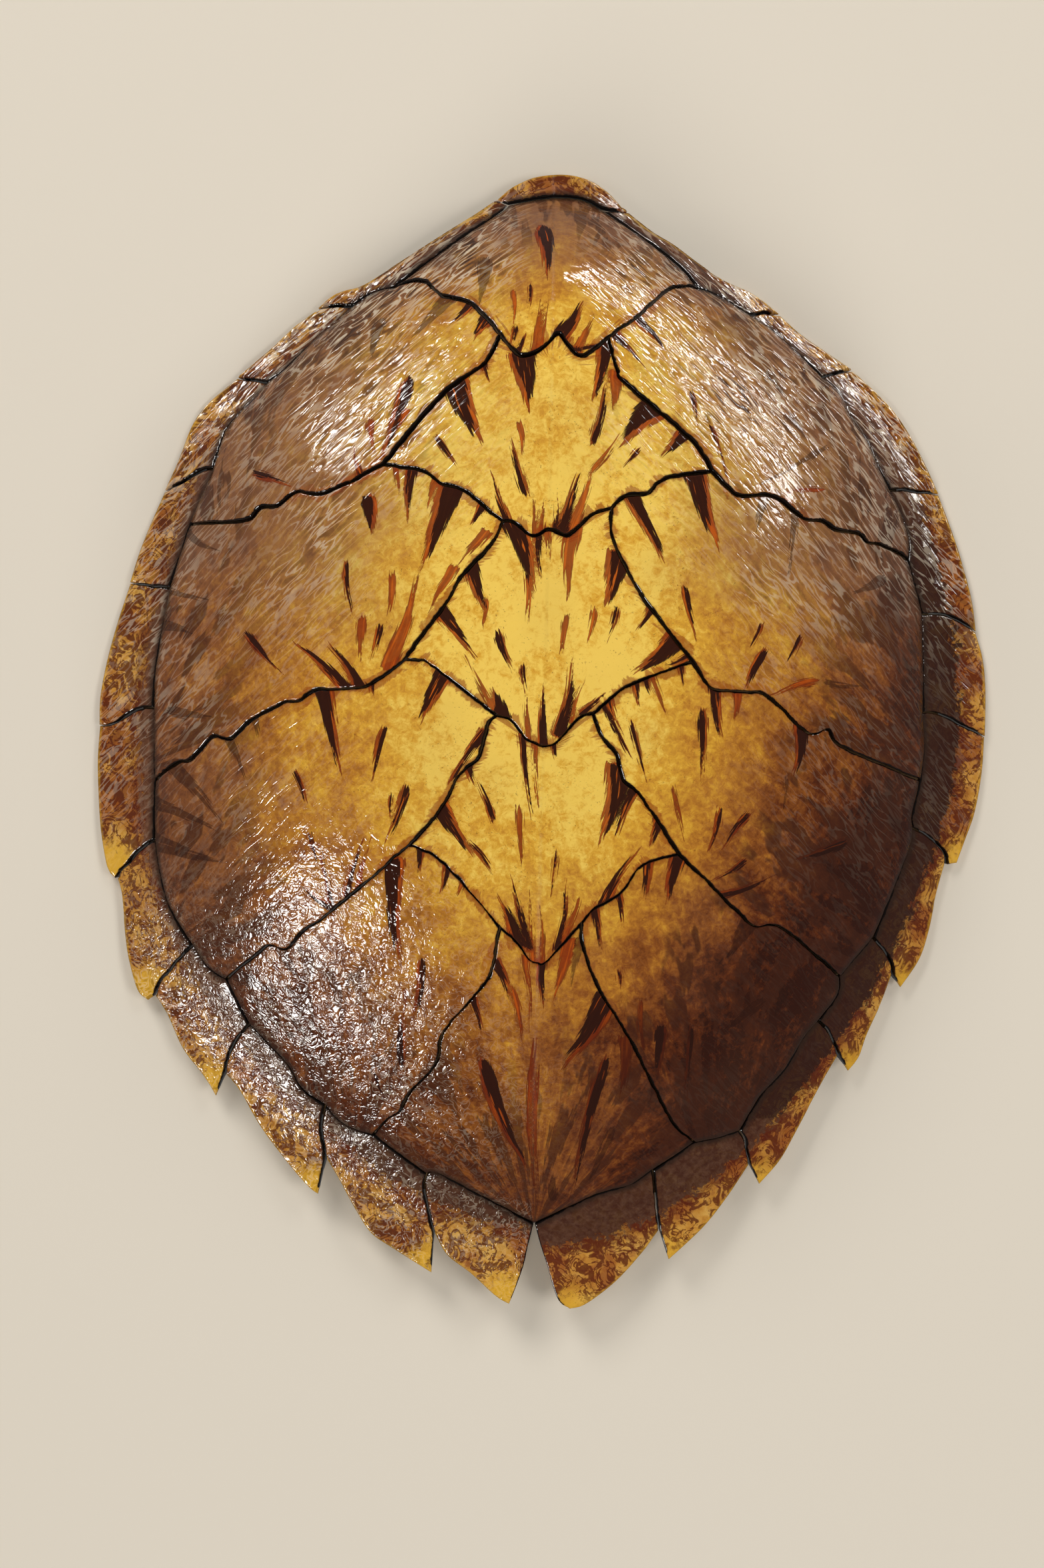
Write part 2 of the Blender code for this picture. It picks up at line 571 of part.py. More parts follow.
# Costals, head to tail.
for word, s, seams in (("left", "l", L), ("right", "r", R)):
    edge = {1: ring_path(s, "k1", "k2"), 2: ring_path(s, "k2", "k3"),
            3: ring_path(s, "k3", "k4"), 4: ring_path(s, "k4", "k5")}
    scute("costal_%s_1" % word, "horn_brown",
          around(seams["v1_c1"], seams["c1_v2"], seams["c1_c2"], edge[1]),
          [seams["v1_c1"]], [seams["c1_v2"], seams["c1_c2"], edge[1]])
    for k in (2, 3):
        before, after = seams["c%d_c%d" % (k - 1, k)], seams["c%d_c%d" % (k, k + 1)]
        inner_front, inner_rear = seams["v%d_c%d" % (k, k)], seams["c%d_v%d" % (k, k + 1)]
        scute("costal_%s_%d" % (word, k), "horn_brown",
              around(before[::-1], inner_front, inner_rear, after, edge[k]),
              [before, inner_front], [inner_rear, after, edge[k]])
    scute("costal_%s_4" % word, "horn_brown",
          around(seams["c3_c4"][::-1], seams["v4_c4"], seams["c4_v5"], edge[4]),
          [seams["c3_c4"], seams["v4_c4"]], [seams["c4_v5"], edge[4]])
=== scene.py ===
"""Looks of a sea turtle carapace: varnished, painted horn scutes over a ribbed bony shield.

Every scute is rebuilt on the frame's own dome at full detail, with rounded lips at its seams, growth
swelling and wrinkles, and carries what its finish needs as vertex attributes. Plan lengths are in mm,
x to the animal's right, y to the head; the meshes are in metres.
"""
import math

import bpy
import numpy as np
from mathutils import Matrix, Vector
from mathutils.geometry import delaunay_2d_cdt


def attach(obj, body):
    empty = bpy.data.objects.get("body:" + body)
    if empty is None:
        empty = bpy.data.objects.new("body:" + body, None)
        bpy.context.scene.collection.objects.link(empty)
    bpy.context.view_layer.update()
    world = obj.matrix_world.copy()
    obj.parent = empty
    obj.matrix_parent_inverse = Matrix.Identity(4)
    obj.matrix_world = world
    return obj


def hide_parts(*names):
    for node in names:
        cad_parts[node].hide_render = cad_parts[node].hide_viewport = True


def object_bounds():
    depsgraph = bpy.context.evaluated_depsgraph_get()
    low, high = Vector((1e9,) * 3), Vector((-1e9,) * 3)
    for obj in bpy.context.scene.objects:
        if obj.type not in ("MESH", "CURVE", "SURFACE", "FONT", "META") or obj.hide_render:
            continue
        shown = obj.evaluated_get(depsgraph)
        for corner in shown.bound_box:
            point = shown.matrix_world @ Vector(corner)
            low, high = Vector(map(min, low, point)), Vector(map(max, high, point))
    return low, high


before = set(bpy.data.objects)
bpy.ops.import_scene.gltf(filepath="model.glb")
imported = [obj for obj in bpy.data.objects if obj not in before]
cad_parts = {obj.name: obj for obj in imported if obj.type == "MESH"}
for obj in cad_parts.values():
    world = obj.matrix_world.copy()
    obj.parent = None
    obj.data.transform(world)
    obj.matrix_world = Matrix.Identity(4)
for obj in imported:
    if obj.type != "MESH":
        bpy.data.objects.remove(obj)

CAD_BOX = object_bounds()
PLAN_LENGTH = 699.25        # nuchal rim to tail tips, in the units below
SCALE = (CAD_BOX[1].y - CAD_BOX[0].y) / PLAN_LENGTH       # metres to one of those millimetres

# ---------------------------------------------------------------- dimensions, mm
DOME_HEIGHT = 150.0         # crown of the disc above the floor
SEAM_HEIGHT = 27.0          # ring seam above the floor at the head and the sides
SEAM_TAIL = 5.5             # half of what it gains towards the tail
RIM_HEIGHT = 4.0            # rim above the floor at the sides
RIM_LIFT = 12.0             # what the rim gains towards head and tail
RIM_TAIL = 7.0              # more of that at the tail, less at the head
FALL = (2.4, 0.9, 0.3)      # how steeply the dome falls: terms of the cosine from the head
RING_LEAST = 10.0           # the ring counts as at least this wide
KEEL_HEIGHT = 2.4           # low ridge along the middle of the vertebrals
KEEL_WIDTH = 12.0
KEEL_ENDS = (-300, -200, 250, 335)      # it fades in and out along these stretches
SCUTE_FRONT = 2.2           # horn thickness at a scute's front edge
SCUTE_RISE = 1.7            # extra thickness at its rear edge
RISE_POWER = 1.5            # keeps the extra towards the rear
SEAM_GAP = 0.8              # groove between neighbours
SEAM_LIP = 0.8              # radius of the rounded lips of a seam
RIM_HORN = 6.2              # marginal where it wraps over the edge of the bone
RIM_EDGE = 4.6              # marginal at its free rim
RIM_BLEND = (2, 5)          # from the rim's full rounding to that of a seam
CHANNEL_DEPTH = 1.3         # soft channel along the ring seam
CHANNEL_WIDTH = 4.5
SWELLS = ((0.35, 26, 11), (0.16, 9, 12))        # growth swelling: height, size, seed
FOLD = 0.16                 # height of the wrinkles and of the crumpled skin, and their sizes
PLEAT_SIZE = 3.6
PLEAT_STRETCH = 5           # how much longer than wide the wrinkles are
CRUMPLE_SIZE = 4.2
CALM_EDGE = (0.5, 4)        # both fade out towards the seams along this
NOWHERE = 99.0              # stands for the distance to an edge a piece doesn't have
SEAM_STEP = 1.6             # spacing of points along seams and rims
DISC_STEP = 1.9             # spacing of points over a scute of the disc
RING_STEP = 1.6             # the same over a marginal
UNDER_STEP = 7.0            # the same under the horn
LIP_ROWS = (0.5, 1.2, 2.2)  # rows of points inside every edge

BONE = 5.5                  # bony shield under the disc
BONE_EDGE = 2.4             # the same where it tapers out under the marginals
BONE_REACH = 0.30           # how far the bone reaches across the marginal ring, 0 to 1
BONE_GAP = 1.1              # between bone and horn
SPINE_RIDGE = 4.0           # backbone and ribs below the bone, and their half widths
SPINE_WIDTH = 12.0
RIB_RIDGE = 3.2
RIB_WIDTH = 11.0
RIB_STARTS = (225, 170, 112, 54, -4, -62, -118, -172)
RIB_SWEEPS = (0.22, 0.12, 0.05, 0.0, -0.08, -0.2, -0.36, -0.55)
BONE_STEP = 3.0             # spacing of points below and, coarser, out of sight above
BONE_TOP_STEP = 12.0
BONE_LIP = 1.1
SUTURE_DEPTH = 0.35

# Gauge of the dome in plan: radius from CENTRE every 15 degrees, clockwise from the head.
CENTRE = (0.0, 45.0)
DISC_RADII = (280, 262, 244, 243, 237, 232, 232, 239, 251, 265, 289, 317,
              327, 313, 289, 275, 263, 244, 234, 231, 234, 241, 242, 262)
RIM_RADII = (304, 285, 263, 266, 269, 269, 275, 280, 285, 298, 323, 357,
             372, 353, 330, 318, 301, 284, 271, 261, 261, 262, 264, 284)

# Where the seams of the horn meet, in plan. On each side, l and r: nu and tail the ends of the ring seam,
# k where a costal's corner meets it, m where a seam between marginals does, j corners of vertebrals that
# face each other, t corners of vertebrals where two costals meet.
JUNCTIONS = {
    "l_nu": (-28, 329), "l_k1": (-97, 272), "l_m1": (-121, 264), "l_m2": (-172, 214), "l_m3": (-204, 160),
    "l_k2": (-218, 126), "l_m4": (-230, 87), "l_m5": (-237, 13), "l_k3": (-235, -31), "l_m6": (-235, -68),
    "l_m7": (-210, -131), "l_k4": (-188, -151), "l_m8": (-174, -178), "l_m9": (-127, -226),
    "l_k5": (-97, -243), "l_m10": (-64, -266), "tail": (2, -296), "r_nu": (30, 327), "r_k1": (89, 274),
    "r_m1": (122, 263), "r_m2": (167, 225), "r_m3": (209, 156), "r_k2": (222, 114), "r_m4": (232, 81),
    "r_m5": (232, 20), "r_k3": (232, -21), "r_m6": (228, -50), "r_m7": (205, -117), "r_k4": (184, -141),
    "r_m8": (172, -168), "r_m9": (126, -237), "r_k5": (98, -243), "r_m10": (73, -260), "l_j12": (-29, 225),
    "r_j12": (32, 225), "l_j23": (-25, 116), "r_j23": (35, 125), "l_j34": (-26, 9), "r_j34": (27, 11),
    "l_j45": (-22, -110), "r_j45": (24, -106), "l_t2": (-93, 149), "l_t3": (-78, 39), "l_t4": (-75, -65),
    "r_t2": (91, 149), "r_t3": (83, 40), "r_t4": (78, -66),
}

# The ring seam between the disc and the marginals on each side: the junctions it passes from the
# nuchal to the tail, each with the bends on the way to the next one.
RING = {
    "l": (
        ("nu", (-38, 319)), ("k1", (-110, 271)), ("m1", (-149, 236), (-161, 222)),
        ("m2", (-195, 189), (-200, 178)), ("m3",), ("k2",), ("m4", (-237, 37)), ("m5",), ("k3",),
        ("m6", (-227, -104)), ("m7", (-200, -144)), ("k4",), ("m8", (-150, -202), (-142, -216)),
        ("m9", (-115, -238)), ("k5",), ("m10", (-53, -267)),
    ),
    "r": (
        ("nu", (77, 291)), ("k1", (105, 271)), ("m1", (139, 253)),
        ("m2", (179, 215), (185, 199), (195, 185), (201, 170)), ("m3", (218, 141), (223, 126)), ("k2",),
        ("m4",), ("m5", (234, 0)), ("k3", (227, -41)), ("m6", (226, -64)), ("m7",), ("k4", (183, -153)),
        ("m8", (162, -180), (153, -197), (137, -216)), ("m9", (112, -241)), ("k5",),
        ("m10", (59, -270), (39, -276)),
    ),
}
RING_ORDER = [name for name, *bends in RING["l"]] + ["tail"]
NUCHAL_SEAM = [(-1, 334), (13, 334), (21, 332)]

# The seams of the disc, named after the two scutes (v vertebral, c costal): from a junction, through the
# bends, to a junction.
SEAMS = {
    "v1_v2": ("l_j12", [(-20, 213), (-14, 211), (-6, 214), (2, 223), (5, 223), (12, 214), (17, 212),
        (22, 215)], "r_j12"),
    "v2_v3": ("l_j23", [(-20, 116), (-8, 108), (0, 112), (11, 109), (23, 120)], "r_j23"),
    "v3_v4": ("l_j34", [(-17, 6), (-10, -3), (-4, -6), (2, -7), (8, -4), (20, 9)], "r_j34"),
    "v4_v5": ("l_j45", [(-12, -118), (-5, -127), (0, -129), (5, -128)], "r_j45"),
    "l_v1_c1": ("l_k1", [(-84, 272), (-74, 268), (-64, 255), (-47, 247)], "l_j12"),
    "l_c1_v2": ("l_j12", [(-38, 207), (-61, 189)], "l_t2"),
    "l_v2_c2": ("l_t2", [(-71, 145), (-59, 137), (-47, 133)], "l_j23"),
    "l_c2_v3": ("l_j23", [(-32, 102), (-48, 84), (-55, 71)], "l_t3"),
    "l_v3_c3": ("l_t3", [(-70, 39), (-63, 36)], "l_j34"),
    "l_c3_v4": ("l_j34", [(-31, 4), (-34, -10), (-37, -16), (-46, -24), (-58, -46)], "l_t4"),
    "l_v4_c4": ("l_t4", [(-68, -66), (-52, -76)], "l_j45"),
    "l_c4_v5": ("l_j45", [(-26, -134), (-30, -143), (-53, -173), (-58, -193), (-74, -213), (-80, -225),
        (-88, -232)], "l_k5"),
    "l_c1_c2": ("l_t2", [(-126, 134), (-144, 136), (-156, 129), (-167, 129), (-178, 122)], "l_k2"),
    "l_c2_c3": ("l_t3", [(-100, 24), (-128, 22), (-139, 16), (-147, 15), (-168, 5), (-180, -5), (-186, -6),
        (-192, -4), (-197, -7), (-209, -19), (-217, -20)], "l_k3"),
    "l_c3_c4": ("l_t4", [(-119, -104), (-137, -117), (-145, -127), (-150, -129), (-157, -127),
        (-163, -130)], "l_k4"),
    "r_v1_c1": ("r_k1", [(77, 270), (67, 263), (50, 242)], "r_j12"),
    "r_c1_v2": ("r_j12", [(37, 205), (42, 197), (80, 166)], "r_t2"),
    "r_v2_c2": ("r_t2", [(65, 143), (54, 134), (42, 132)], "r_j23"),
    "r_c2_v3": ("r_j23", [(36, 107), (54, 75)], "r_t3"),
    "r_v3_c3": ("r_t3", [(78, 40), (46, 27)], "r_j34"),
    "r_c3_v4": ("r_j34", [(32, -1), (41, -12), (45, -25), (55, -34)], "r_t4"),
    "r_v4_c4": ("r_t4", [(57, -73), (45, -89), (31, -98)], "r_j45"),
    "r_c4_v5": ("r_j45", [(26, -123), (37, -148), (55, -176), (78, -220), (86, -232)], "r_k5"),
    "r_c1_c2": ("r_t2", [(102, 139), (109, 136), (127, 138), (146, 127), (157, 127), (169, 123), (183, 123),
        (189, 119), (199, 119)], "r_k2"),
    "r_c2_c3": ("r_t3", [(90, 30), (96, 26), (114, 26), (126, 24), (149, 6), (156, 4), (165, 7),
        (175, -3)], "r_k3"),
    "r_c3_c4": ("r_t4", [(114, -99), (126, -108), (143, -110)], "r_k4"),
}

# The seams between the marginals of each side, each from its ring junction out to the rim.
CROSS_NAMES = ("nu", "m1", "m2", "m3", "m4", "m5", "m6", "m7", "m8", "m9", "m10")
CROSS = {
    "l": (
        [(-33, 331), (-38, 330)], [(-139, 264), (-147, 262)], [(-194, 220)], [(-214, 159), (-238, 148)],
        [(-258, 91)], [(-249, 12), (-266, 3), (-275, 2)], [(-241, -71), (-256, -85), (-262, -93)],
        [(-230, -153), (-236, -165)], [(-182, -188), (-188, -199), (-191, -212)],
        [(-129, -240), (-127, -262)], [(-65, -278), (-59, -306)],
    ),
    "r": (
        [(47, 325)], [(131, 266), (143, 266)], [(178, 230), (189, 233)], [(222, 158), (244, 157)],
        [(245, 82), (257, 79), (269, 72)], [(245, 20), (276, 7)],
        [(237, -54), (246, -60), (252, -67), (253, -73)], [(214, -127), (219, -135), (221, -142)],
        [(180, -177), (188, -192)], [(130, -244), (134, -260)], [(79, -301)],
    ),
}

# The free rim of the nuchal, and of each marginal between its two cross seams, head to tail. From
# the sixth on, the last point is the tip of the tooth that stands past the next cross seam.
NUCHAL_RIM = [(-29, 339), (-21, 344), (-11, 348), (3, 350), (15, 349), (26, 345), (37, 337)]
RIM = {
    "l": (
        [(-48, 322), (-69, 308), (-86, 297), (-102, 287), (-117, 278), (-129, 275), (-137, 271)],
        [(-160, 252), (-172, 240), (-184, 229)], [(-208, 208), (-217, 198), (-223, 187), (-230, 167)],
        [(-247, 126), (-253, 109)], [(-265, 68), (-271, 44), (-275, 20)],
        [(-276, -19), (-275, -40), (-273, -62), (-269, -83), (-266, -90)],
        [(-259, -103), (-256, -128), (-253, -144), (-247, -162), (-240, -168)],
        [(-228, -177), (-218, -197), (-204, -214), (-196, -226)],
        [(-182, -222), (-168, -244), (-151, -265), (-138, -279), (-131, -284)],
        [(-118, -276), (-108, -293), (-98, -307), (-84, -316), (-60, -330)],
        [(-51, -319), (-36, -330), (-21, -343), (-12, -348)],
    ),
    "r": (
        [(62, 313), (75, 306), (91, 295), (107, 286), (125, 279)], [(156, 255), (172, 244)],
        [(211, 213), (224, 196), (235, 176)], [(252, 137), (259, 117), (266, 92)], [(274, 55), (276, 35)],
        [(275, -15), (271, -40), (265, -58), (260, -72)],
        [(248, -92), (244, -113), (238, -132), (226, -150)],
        [(215, -159), (206, -179), (201, -193), (194, -202)],
        [(178, -210), (163, -239), (153, -257), (140, -272)], [(123, -277), (107, -298), (85, -319)],
        [(69, -315), (53, -333), (35, -347), (25, -350)],
    ),
}
# The two sides of the open notch between the last marginals, from the tail out to each tip.
TAIL_SIDES = {"l": [(-1, -310), (-4, -325)], "r": [(6, -310), (10, -322), (17, -343)]}

# The painted marks of each scute: blunt end x, y, tip x, y and width. One with no letter is a dark
# flame with a rust fringe; "o" is rust strokes only, "p" a faint dark mark.
MARKS = {
    "vertebral_1": (
        (-6, 304, -2, 264, 10), (-40, 280, -41, 245, 12, "p"), (-23, 254, -22, 230, 2, "o"),
        (-20, 229, -22, 218, 3), (-13, 256, -14, 242, 2), (-10, 211, -7, 242, 5, "o"),
        (-7, 215, -4, 239, 3, "o"), (5, 224, 15, 244, 8), (14, 216, 22, 235, 5, "o"),
        (-20, 211, -16, 222, 5), (15, 215, 29, 219, 3),
    ),
    "vertebral_2": (
        (-15, 211, -11, 183, 14), (32, 224, 25, 188, 9), (24, 160, 31, 194, 5), (35, 199, 34, 183, 8, "o"),
        (56, 184, 40, 164, 15), (76, 170, 64, 156, 8), (50, 159, 42, 149, 2), (-54, 193, -41, 163, 14),
        (-38, 208, -35, 198, 4), (-64, 164, -52, 147, 3), (-13, 130, -22, 159, 5), (-24, 118, -31, 139, 4),
        (10, 118, 17, 143, 6), (13, 116, 22, 144, 6, "o"), (22, 144, 38, 166, 2, "o"), (4, 114, 4, 129, 3),
        (-7, 112, -8, 130, 2, "o"), (-4, 114, -3, 125, 2, "o"), (-17, 172, -14, 155, 4, "o"),
    ),
    "costal_left_1": (
        (-79, 201, -91, 156, 8), (-101, 177, -98, 156, 4, "o"), (-105, 142, -109, 161, 3),
        (-38, 236, -44, 225, 8), (-48, 246, -57, 236, 5), (-62, 251, -80, 228, 11, "p"),
        (-100, 246, -104, 217, 10, "p"), (-172, 151, -149, 141, 4), (-127, 273, -135, 233, 8, "p"),
        (-85, 172, -94, 152, 5, "o"),
    ),
    "costal_left_2": (
        (-102, 131, -99, 111, 9), (-76, 146, -77, 120, 6), (-86, 146, -84, 133, 2, "o"),
        (-63, 140, -68, 125, 4, "o"), (-53, 135, -66, 94, 13), (-36, 125, -41, 115, 5),
        (-38, 104, -47, 93, 5, "o"), (-54, 84, -63, 67, 4, "o"), (-84, 39, -71, 84, 8, "o"),
        (-86, 87, -88, 63, 4, "o"), (-91, 58, -95, 41, 4), (-101, 63, -102, 41, 5, "o"),
        (-112, 94, -108, 66, 3), (-102, 24, -119, 46, 6), (-111, 24, -139, 48, 6), (-173, 56, -151, 34, 4),
        (-228, 84, -197, 75, 5, "p"), (-230, 63, -210, 57, 8, "p"), (-225, 11, -194, 7, 8, "p"),
        (-220, 121, -194, 105, 6, "p"),
    ),
    "costal_left_3": (
        (-125, 20, -116, -21, 9), (-96, 27, -95, 19, 4), (-88, 1, -94, -24, 5), (-75, -31, -85, -60, 5),
        (-84, -36, -84, -50, 2), (-142, -24, -135, -42, 3), (-183, -6, -172, -29, 7, "p"),
        (-166, 3, -163, -8, 5, "p"), (-33, -2, -49, -26, 5), (-57, 31, -69, 6, 9),
        (-118, -103, -125, -70, 3), (-118, -103, -137, -90, 4), (-109, -91, -100, -63, 3),
        (-103, -93, -95, -62, 3, "o"), (-132, -59, -127, -78, 2), (-233, -69, -187, -79, 12, "p"),
        (-217, -26, -187, -55, 10, "p"), (-228, -47, -189, -61, 8, "p"),
    ),
    "costal_left_4": (
        (-84, -80, -81, -131, 10), (-68, -67, -69, -80, 4), (-52, -76, -55, -91, 4),
        (-43, -85, -47, -94, 3, "o"), (-66, -130, -71, -169, 5), (-78, -196, -77, -155, 5),
        (-94, -202, -90, -214, 3), (-176, -149, -149, -160, 9, "p"), (-152, -127, -136, -150, 8, "p"),
    ),
    "vertebral_3": (
        (-20, 115, -10, 81, 13), (-11, 88, -11, 64, 4, "o"), (-5, 107, -3, 85, 4),
        (15, 111, 13, 79, 9, "o"), (-1, 110, 0, 96, 3, "o"), (-41, 89, -33, 67, 8),
        (-34, 73, -35, 60, 3, "o"), (-58, 67, -40, 45, 8), (41, 97, 35, 72, 13), (59, 70, 52, 59, 5),
        (72, 52, 52, 35, 11), (80, 45, 66, 38, 3), (-27, 55, -19, 35, 5), (-12, 37, -10, 22, 3),
        (27, 69, 24, 52, 3, "o"), (39, 70, 34, 53, 3), (12, 65, 9, 42, 3, "o"), (-23, 9, -27, 23, 10),
        (-32, 20, -42, 38, 2, "o"), (0, -4, 0, 22, 5), (10, 4, 16, 37, 7), (16, 11, 21, 28, 2, "o"),
        (-8, -2, -10, 20, 2, "o"), (23, 13, 32, 21, 3),
    ),
    "vertebral_4": (
        (-11, -6, -5, -44, 3), (-4, -9, -2, -35, 2, "o"), (6, -7, 7, -14, 3), (-40, -23, -38, -28, 5),
        (-26, -49, -35, -28, 4), (-56, -46, -41, -67, 9), (-40, -62, -26, -79, 2),
        (-12, -41, -9, -71, 4, "o"), (44, -21, 36, -56, 14), (50, -32, 41, -56, 5), (66, -50, 62, -61, 5),
        (36, -93, 52, -66, 5), (9, -66, 7, -87, 2), (-7, -112, -15, -84, 4), (-11, -117, -21, -94, 8),
        (11, -116, 14, -85, 4), (2, -120, 1, -99, 2, "o"), (15, -110, 22, -89, 3, "o"),
        (-3, -120, -5, -93, 2, "o"),
    ),
    "vertebral_5": (
        (-24, -132, -16, -152, 5), (-36, -157, -32, -171, 4), (-30, -189, -5, -250, 10),
        (3, -128, 4, -151, 5), (16, -120, 9, -147, 8, "o"), (23, -120, 19, -143, 6, "p"),
        (37, -154, 17, -188, 13), (42, -187, 26, -265, 7), (47, -230, 32, -269, 8, "p"),
        (54, -179, 52, -208, 8, "o"), (70, -207, 68, -215, 4, "p"), (13, -278, 12, -260, 8, "p"),
        (-1, -176, 2, -274, 2, "o"), (2, -192, 4, -265, 2, "o"), (-14, -144, -8, -176, 3, "o"),
        (-7, -132, -4, -164, 2, "o"),
    ),
    "costal_right_4": (
        (31, -100, 35, -121, 4), (44, -90, 47, -106, 3), (60, -73, 59, -90, 5), (79, -69, 74, -92, 9),
        (46, -133, 48, -151, 2), (72, -167, 71, -194, 8), (91, -168, 90, -205, 3),
        (59, -151, 63, -185, 2, "o"), (120, -110, 109, -128, 12, "p"), (134, -153, 110, -172, 8, "p"),
        (148, -145, 141, -165, 8, "p"),
    ),
    "costal_right_1": (
        (36, 226, 50, 210, 5), (51, 238, 65, 221, 5), (79, 196, 82, 177, 2), (90, 176, 99, 147, 2),
        (163, 174, 119, 143, 4, "p"), (159, 146, 135, 141, 2, "o"), (127, 218, 139, 201, 6, "p"),
    ),
    "costal_right_2": (
        (47, 132, 64, 99, 8), (81, 144, 92, 109, 12), (76, 83, 83, 58, 4), (121, 65, 115, 52, 2),
        (124, 50, 113, 27, 5), (145, 59, 137, 44, 3), (156, 35, 131, 26, 4, "o"),
        (160, 34, 189, 33, 5, "p"), (142, 134, 137, 91, 6, "p"), (123, 139, 117, 116, 8, "p"),
        (203, 99, 179, 87, 8, "p"),
    ),
    "costal_right_3": (
        (95, 25, 99, 0, 6), (108, 24, 107, 12, 5, "o"), (88, 15, 89, -20, 5), (48, 7, 56, -21, 3),
        (42, -1, 48, -13, 2), (35, 14, 39, 1, 6), (56, 30, 59, 22, 4), (62, 26, 70, 7, 2, "o"),
        (51, 25, 53, 16, 3), (76, 37, 78, 28, 3), (149, 3, 146, -19, 8), (140, -21, 139, -44, 3, "p"),
        (181, -59, 153, -68, 6), (118, -42, 105, -59, 4), (101, -40, 95, -65, 3), (105, -90, 133, -80, 4),
        (118, -69, 101, -80, 3), (73, -28, 80, -54, 2, "o"),
    ),
}

# ---------------------------------------------------------------- the dome, on arrays of plan points
def harmonics(table, orders=9):
    """Smooth closed curve through a table of radii, as cosine and sine terms."""
    n = len(table)
    turn = [2 * math.pi * i / n for i in range(n)]
    return [(2 / n * sum(r * math.cos(k * t) for r, t in zip(table, turn)),
             2 / n * sum(r * math.sin(k * t) for r, t in zip(table, turn))) for k in range(orders)]


DISC_TERMS = harmonics(DISC_RADII)
RIM_TERMS = harmonics(RIM_RADII)


def radius(terms, t):
    return terms[0][0] / 2 + sum(a * np.cos(k * t) + b * np.sin(k * t)
                                 for k, (a, b) in enumerate(terms) if k)


def gauge(t):
    """Radius of the disc and width of the ring round it, at bearings from the head."""
    disc = radius(DISC_TERMS, t)
    return disc, np.maximum(radius(RIM_TERMS, t) - disc, RING_LEAST)


def polar(p):
    dx, dy = p[:, 0] - CENTRE[0], p[:, 1] - CENTRE[1]
    return np.hypot(dx, dy), np.arctan2(dx, dy)


def ring_fraction(p):
    """0 on the ring seam, 1 on the rim, negative over the disc."""
    r, t = polar(p)
    disc, width = gauge(t)
    return (r - disc) / width


def dome(p):
    """Height of the horn's base surface: steep towards the head, gentle towards the tail."""
    r, t = polar(p)
    c = np.cos(t)
    disc, width = gauge(t)
    seam_z = SEAM_HEIGHT - SEAM_TAIL * c + SEAM_TAIL * c * c
    rim_z = RIM_HEIGHT + RIM_LIFT * c ** 4 - RIM_TAIL * c ** 3
    fall = FALL[0] + FALL[1] * c + FALL[2] * c * c
    rho = np.minimum(r / disc, 1)
    drop = rho ** 2 * ((rho ** 2 + 0.015) / 1.015) ** ((fall - 2) / 2)
    inner = seam_z + (DOME_HEIGHT - seam_z) * (1 - drop)
    flare = fall * (DOME_HEIGHT - seam_z) * width / (disc * (seam_z - rim_z))
    q = np.maximum((r - disc) / width, 0)
    outer = rim_z + (seam_z - rim_z) * (1 - np.minimum(q, 1)) ** np.clip(flare, 1.1, 2.2)
    return np.where(r < disc, inner, outer - 2 * np.maximum(q - 1, 0))


def on_dome(p, offset):
    """Plan points lifted to the dome and moved along its normal; nothing goes below the floor."""
    ex, ey = np.array((0.5, 0.0)), np.array((0.0, 0.5))         # the slope is taken over 1 mm
    n = np.stack((dome(p - ex) - dome(p + ex), dome(p - ey) - dome(p + ey), np.ones(len(p))), axis=1)
    n /= np.linalg.norm(n, axis=1)[:, None]
    q = np.column_stack((p, dome(p))) + n * np.asarray(offset)[:, None]
    q[:, 2] = np.maximum(q[:, 2], 0.0)
    return q


def smoothstep(a, b, v):
    v = np.clip((v - a) / (b - a), 0, 1)
    return v * v * (3 - 2 * v)


def lattice(i, j, seed):
    """A repeatable number from 0 to 1 for every pair of whole numbers, from the bits they mix."""
    h = (i * 374761393 + j * 668265263 + seed * 982451653) & 0x7FFFFFFF
    h = ((h ^ (h >> 13)) * 1274126177) & 0x7FFFFFFF
    return ((h ^ (h >> 16)) & 0xFFFF) / 65535


def ripple(p, size, seed=0):
    """Smooth noise from -1 to 1 over plan points, with features of about the given size."""
    q = p / size
    cell = np.floor(q).astype(np.int64)
    f = q - cell
    f = f * f * (3 - 2 * f)
    i, j = cell[:, 0], cell[:, 1]
    a, b = lattice(i, j, seed), lattice(i + 1, j, seed)
    c, d = lattice(i, j + 1, seed), lattice(i + 1, j + 1, seed)
    low, high = a + (b - a) * f[:, 0], c + (d - c) * f[:, 0]
    return 2 * (low + (high - low) * f[:, 1]) - 1


# ---------------------------------------------------------------- curves in plan
WANDER = 0.45               # how far a seam strays from its smooth curve, over about WANDER_SIZE
WANDER_SIZE = 5.5
WANDER_FADE = 6.0           # it doesn't stray at its ends, so that seams meet
CURVE_CUTS = 24             # points tried between two bends before the curve is spaced evenly
CHUNK = 1500                # points worked on at once


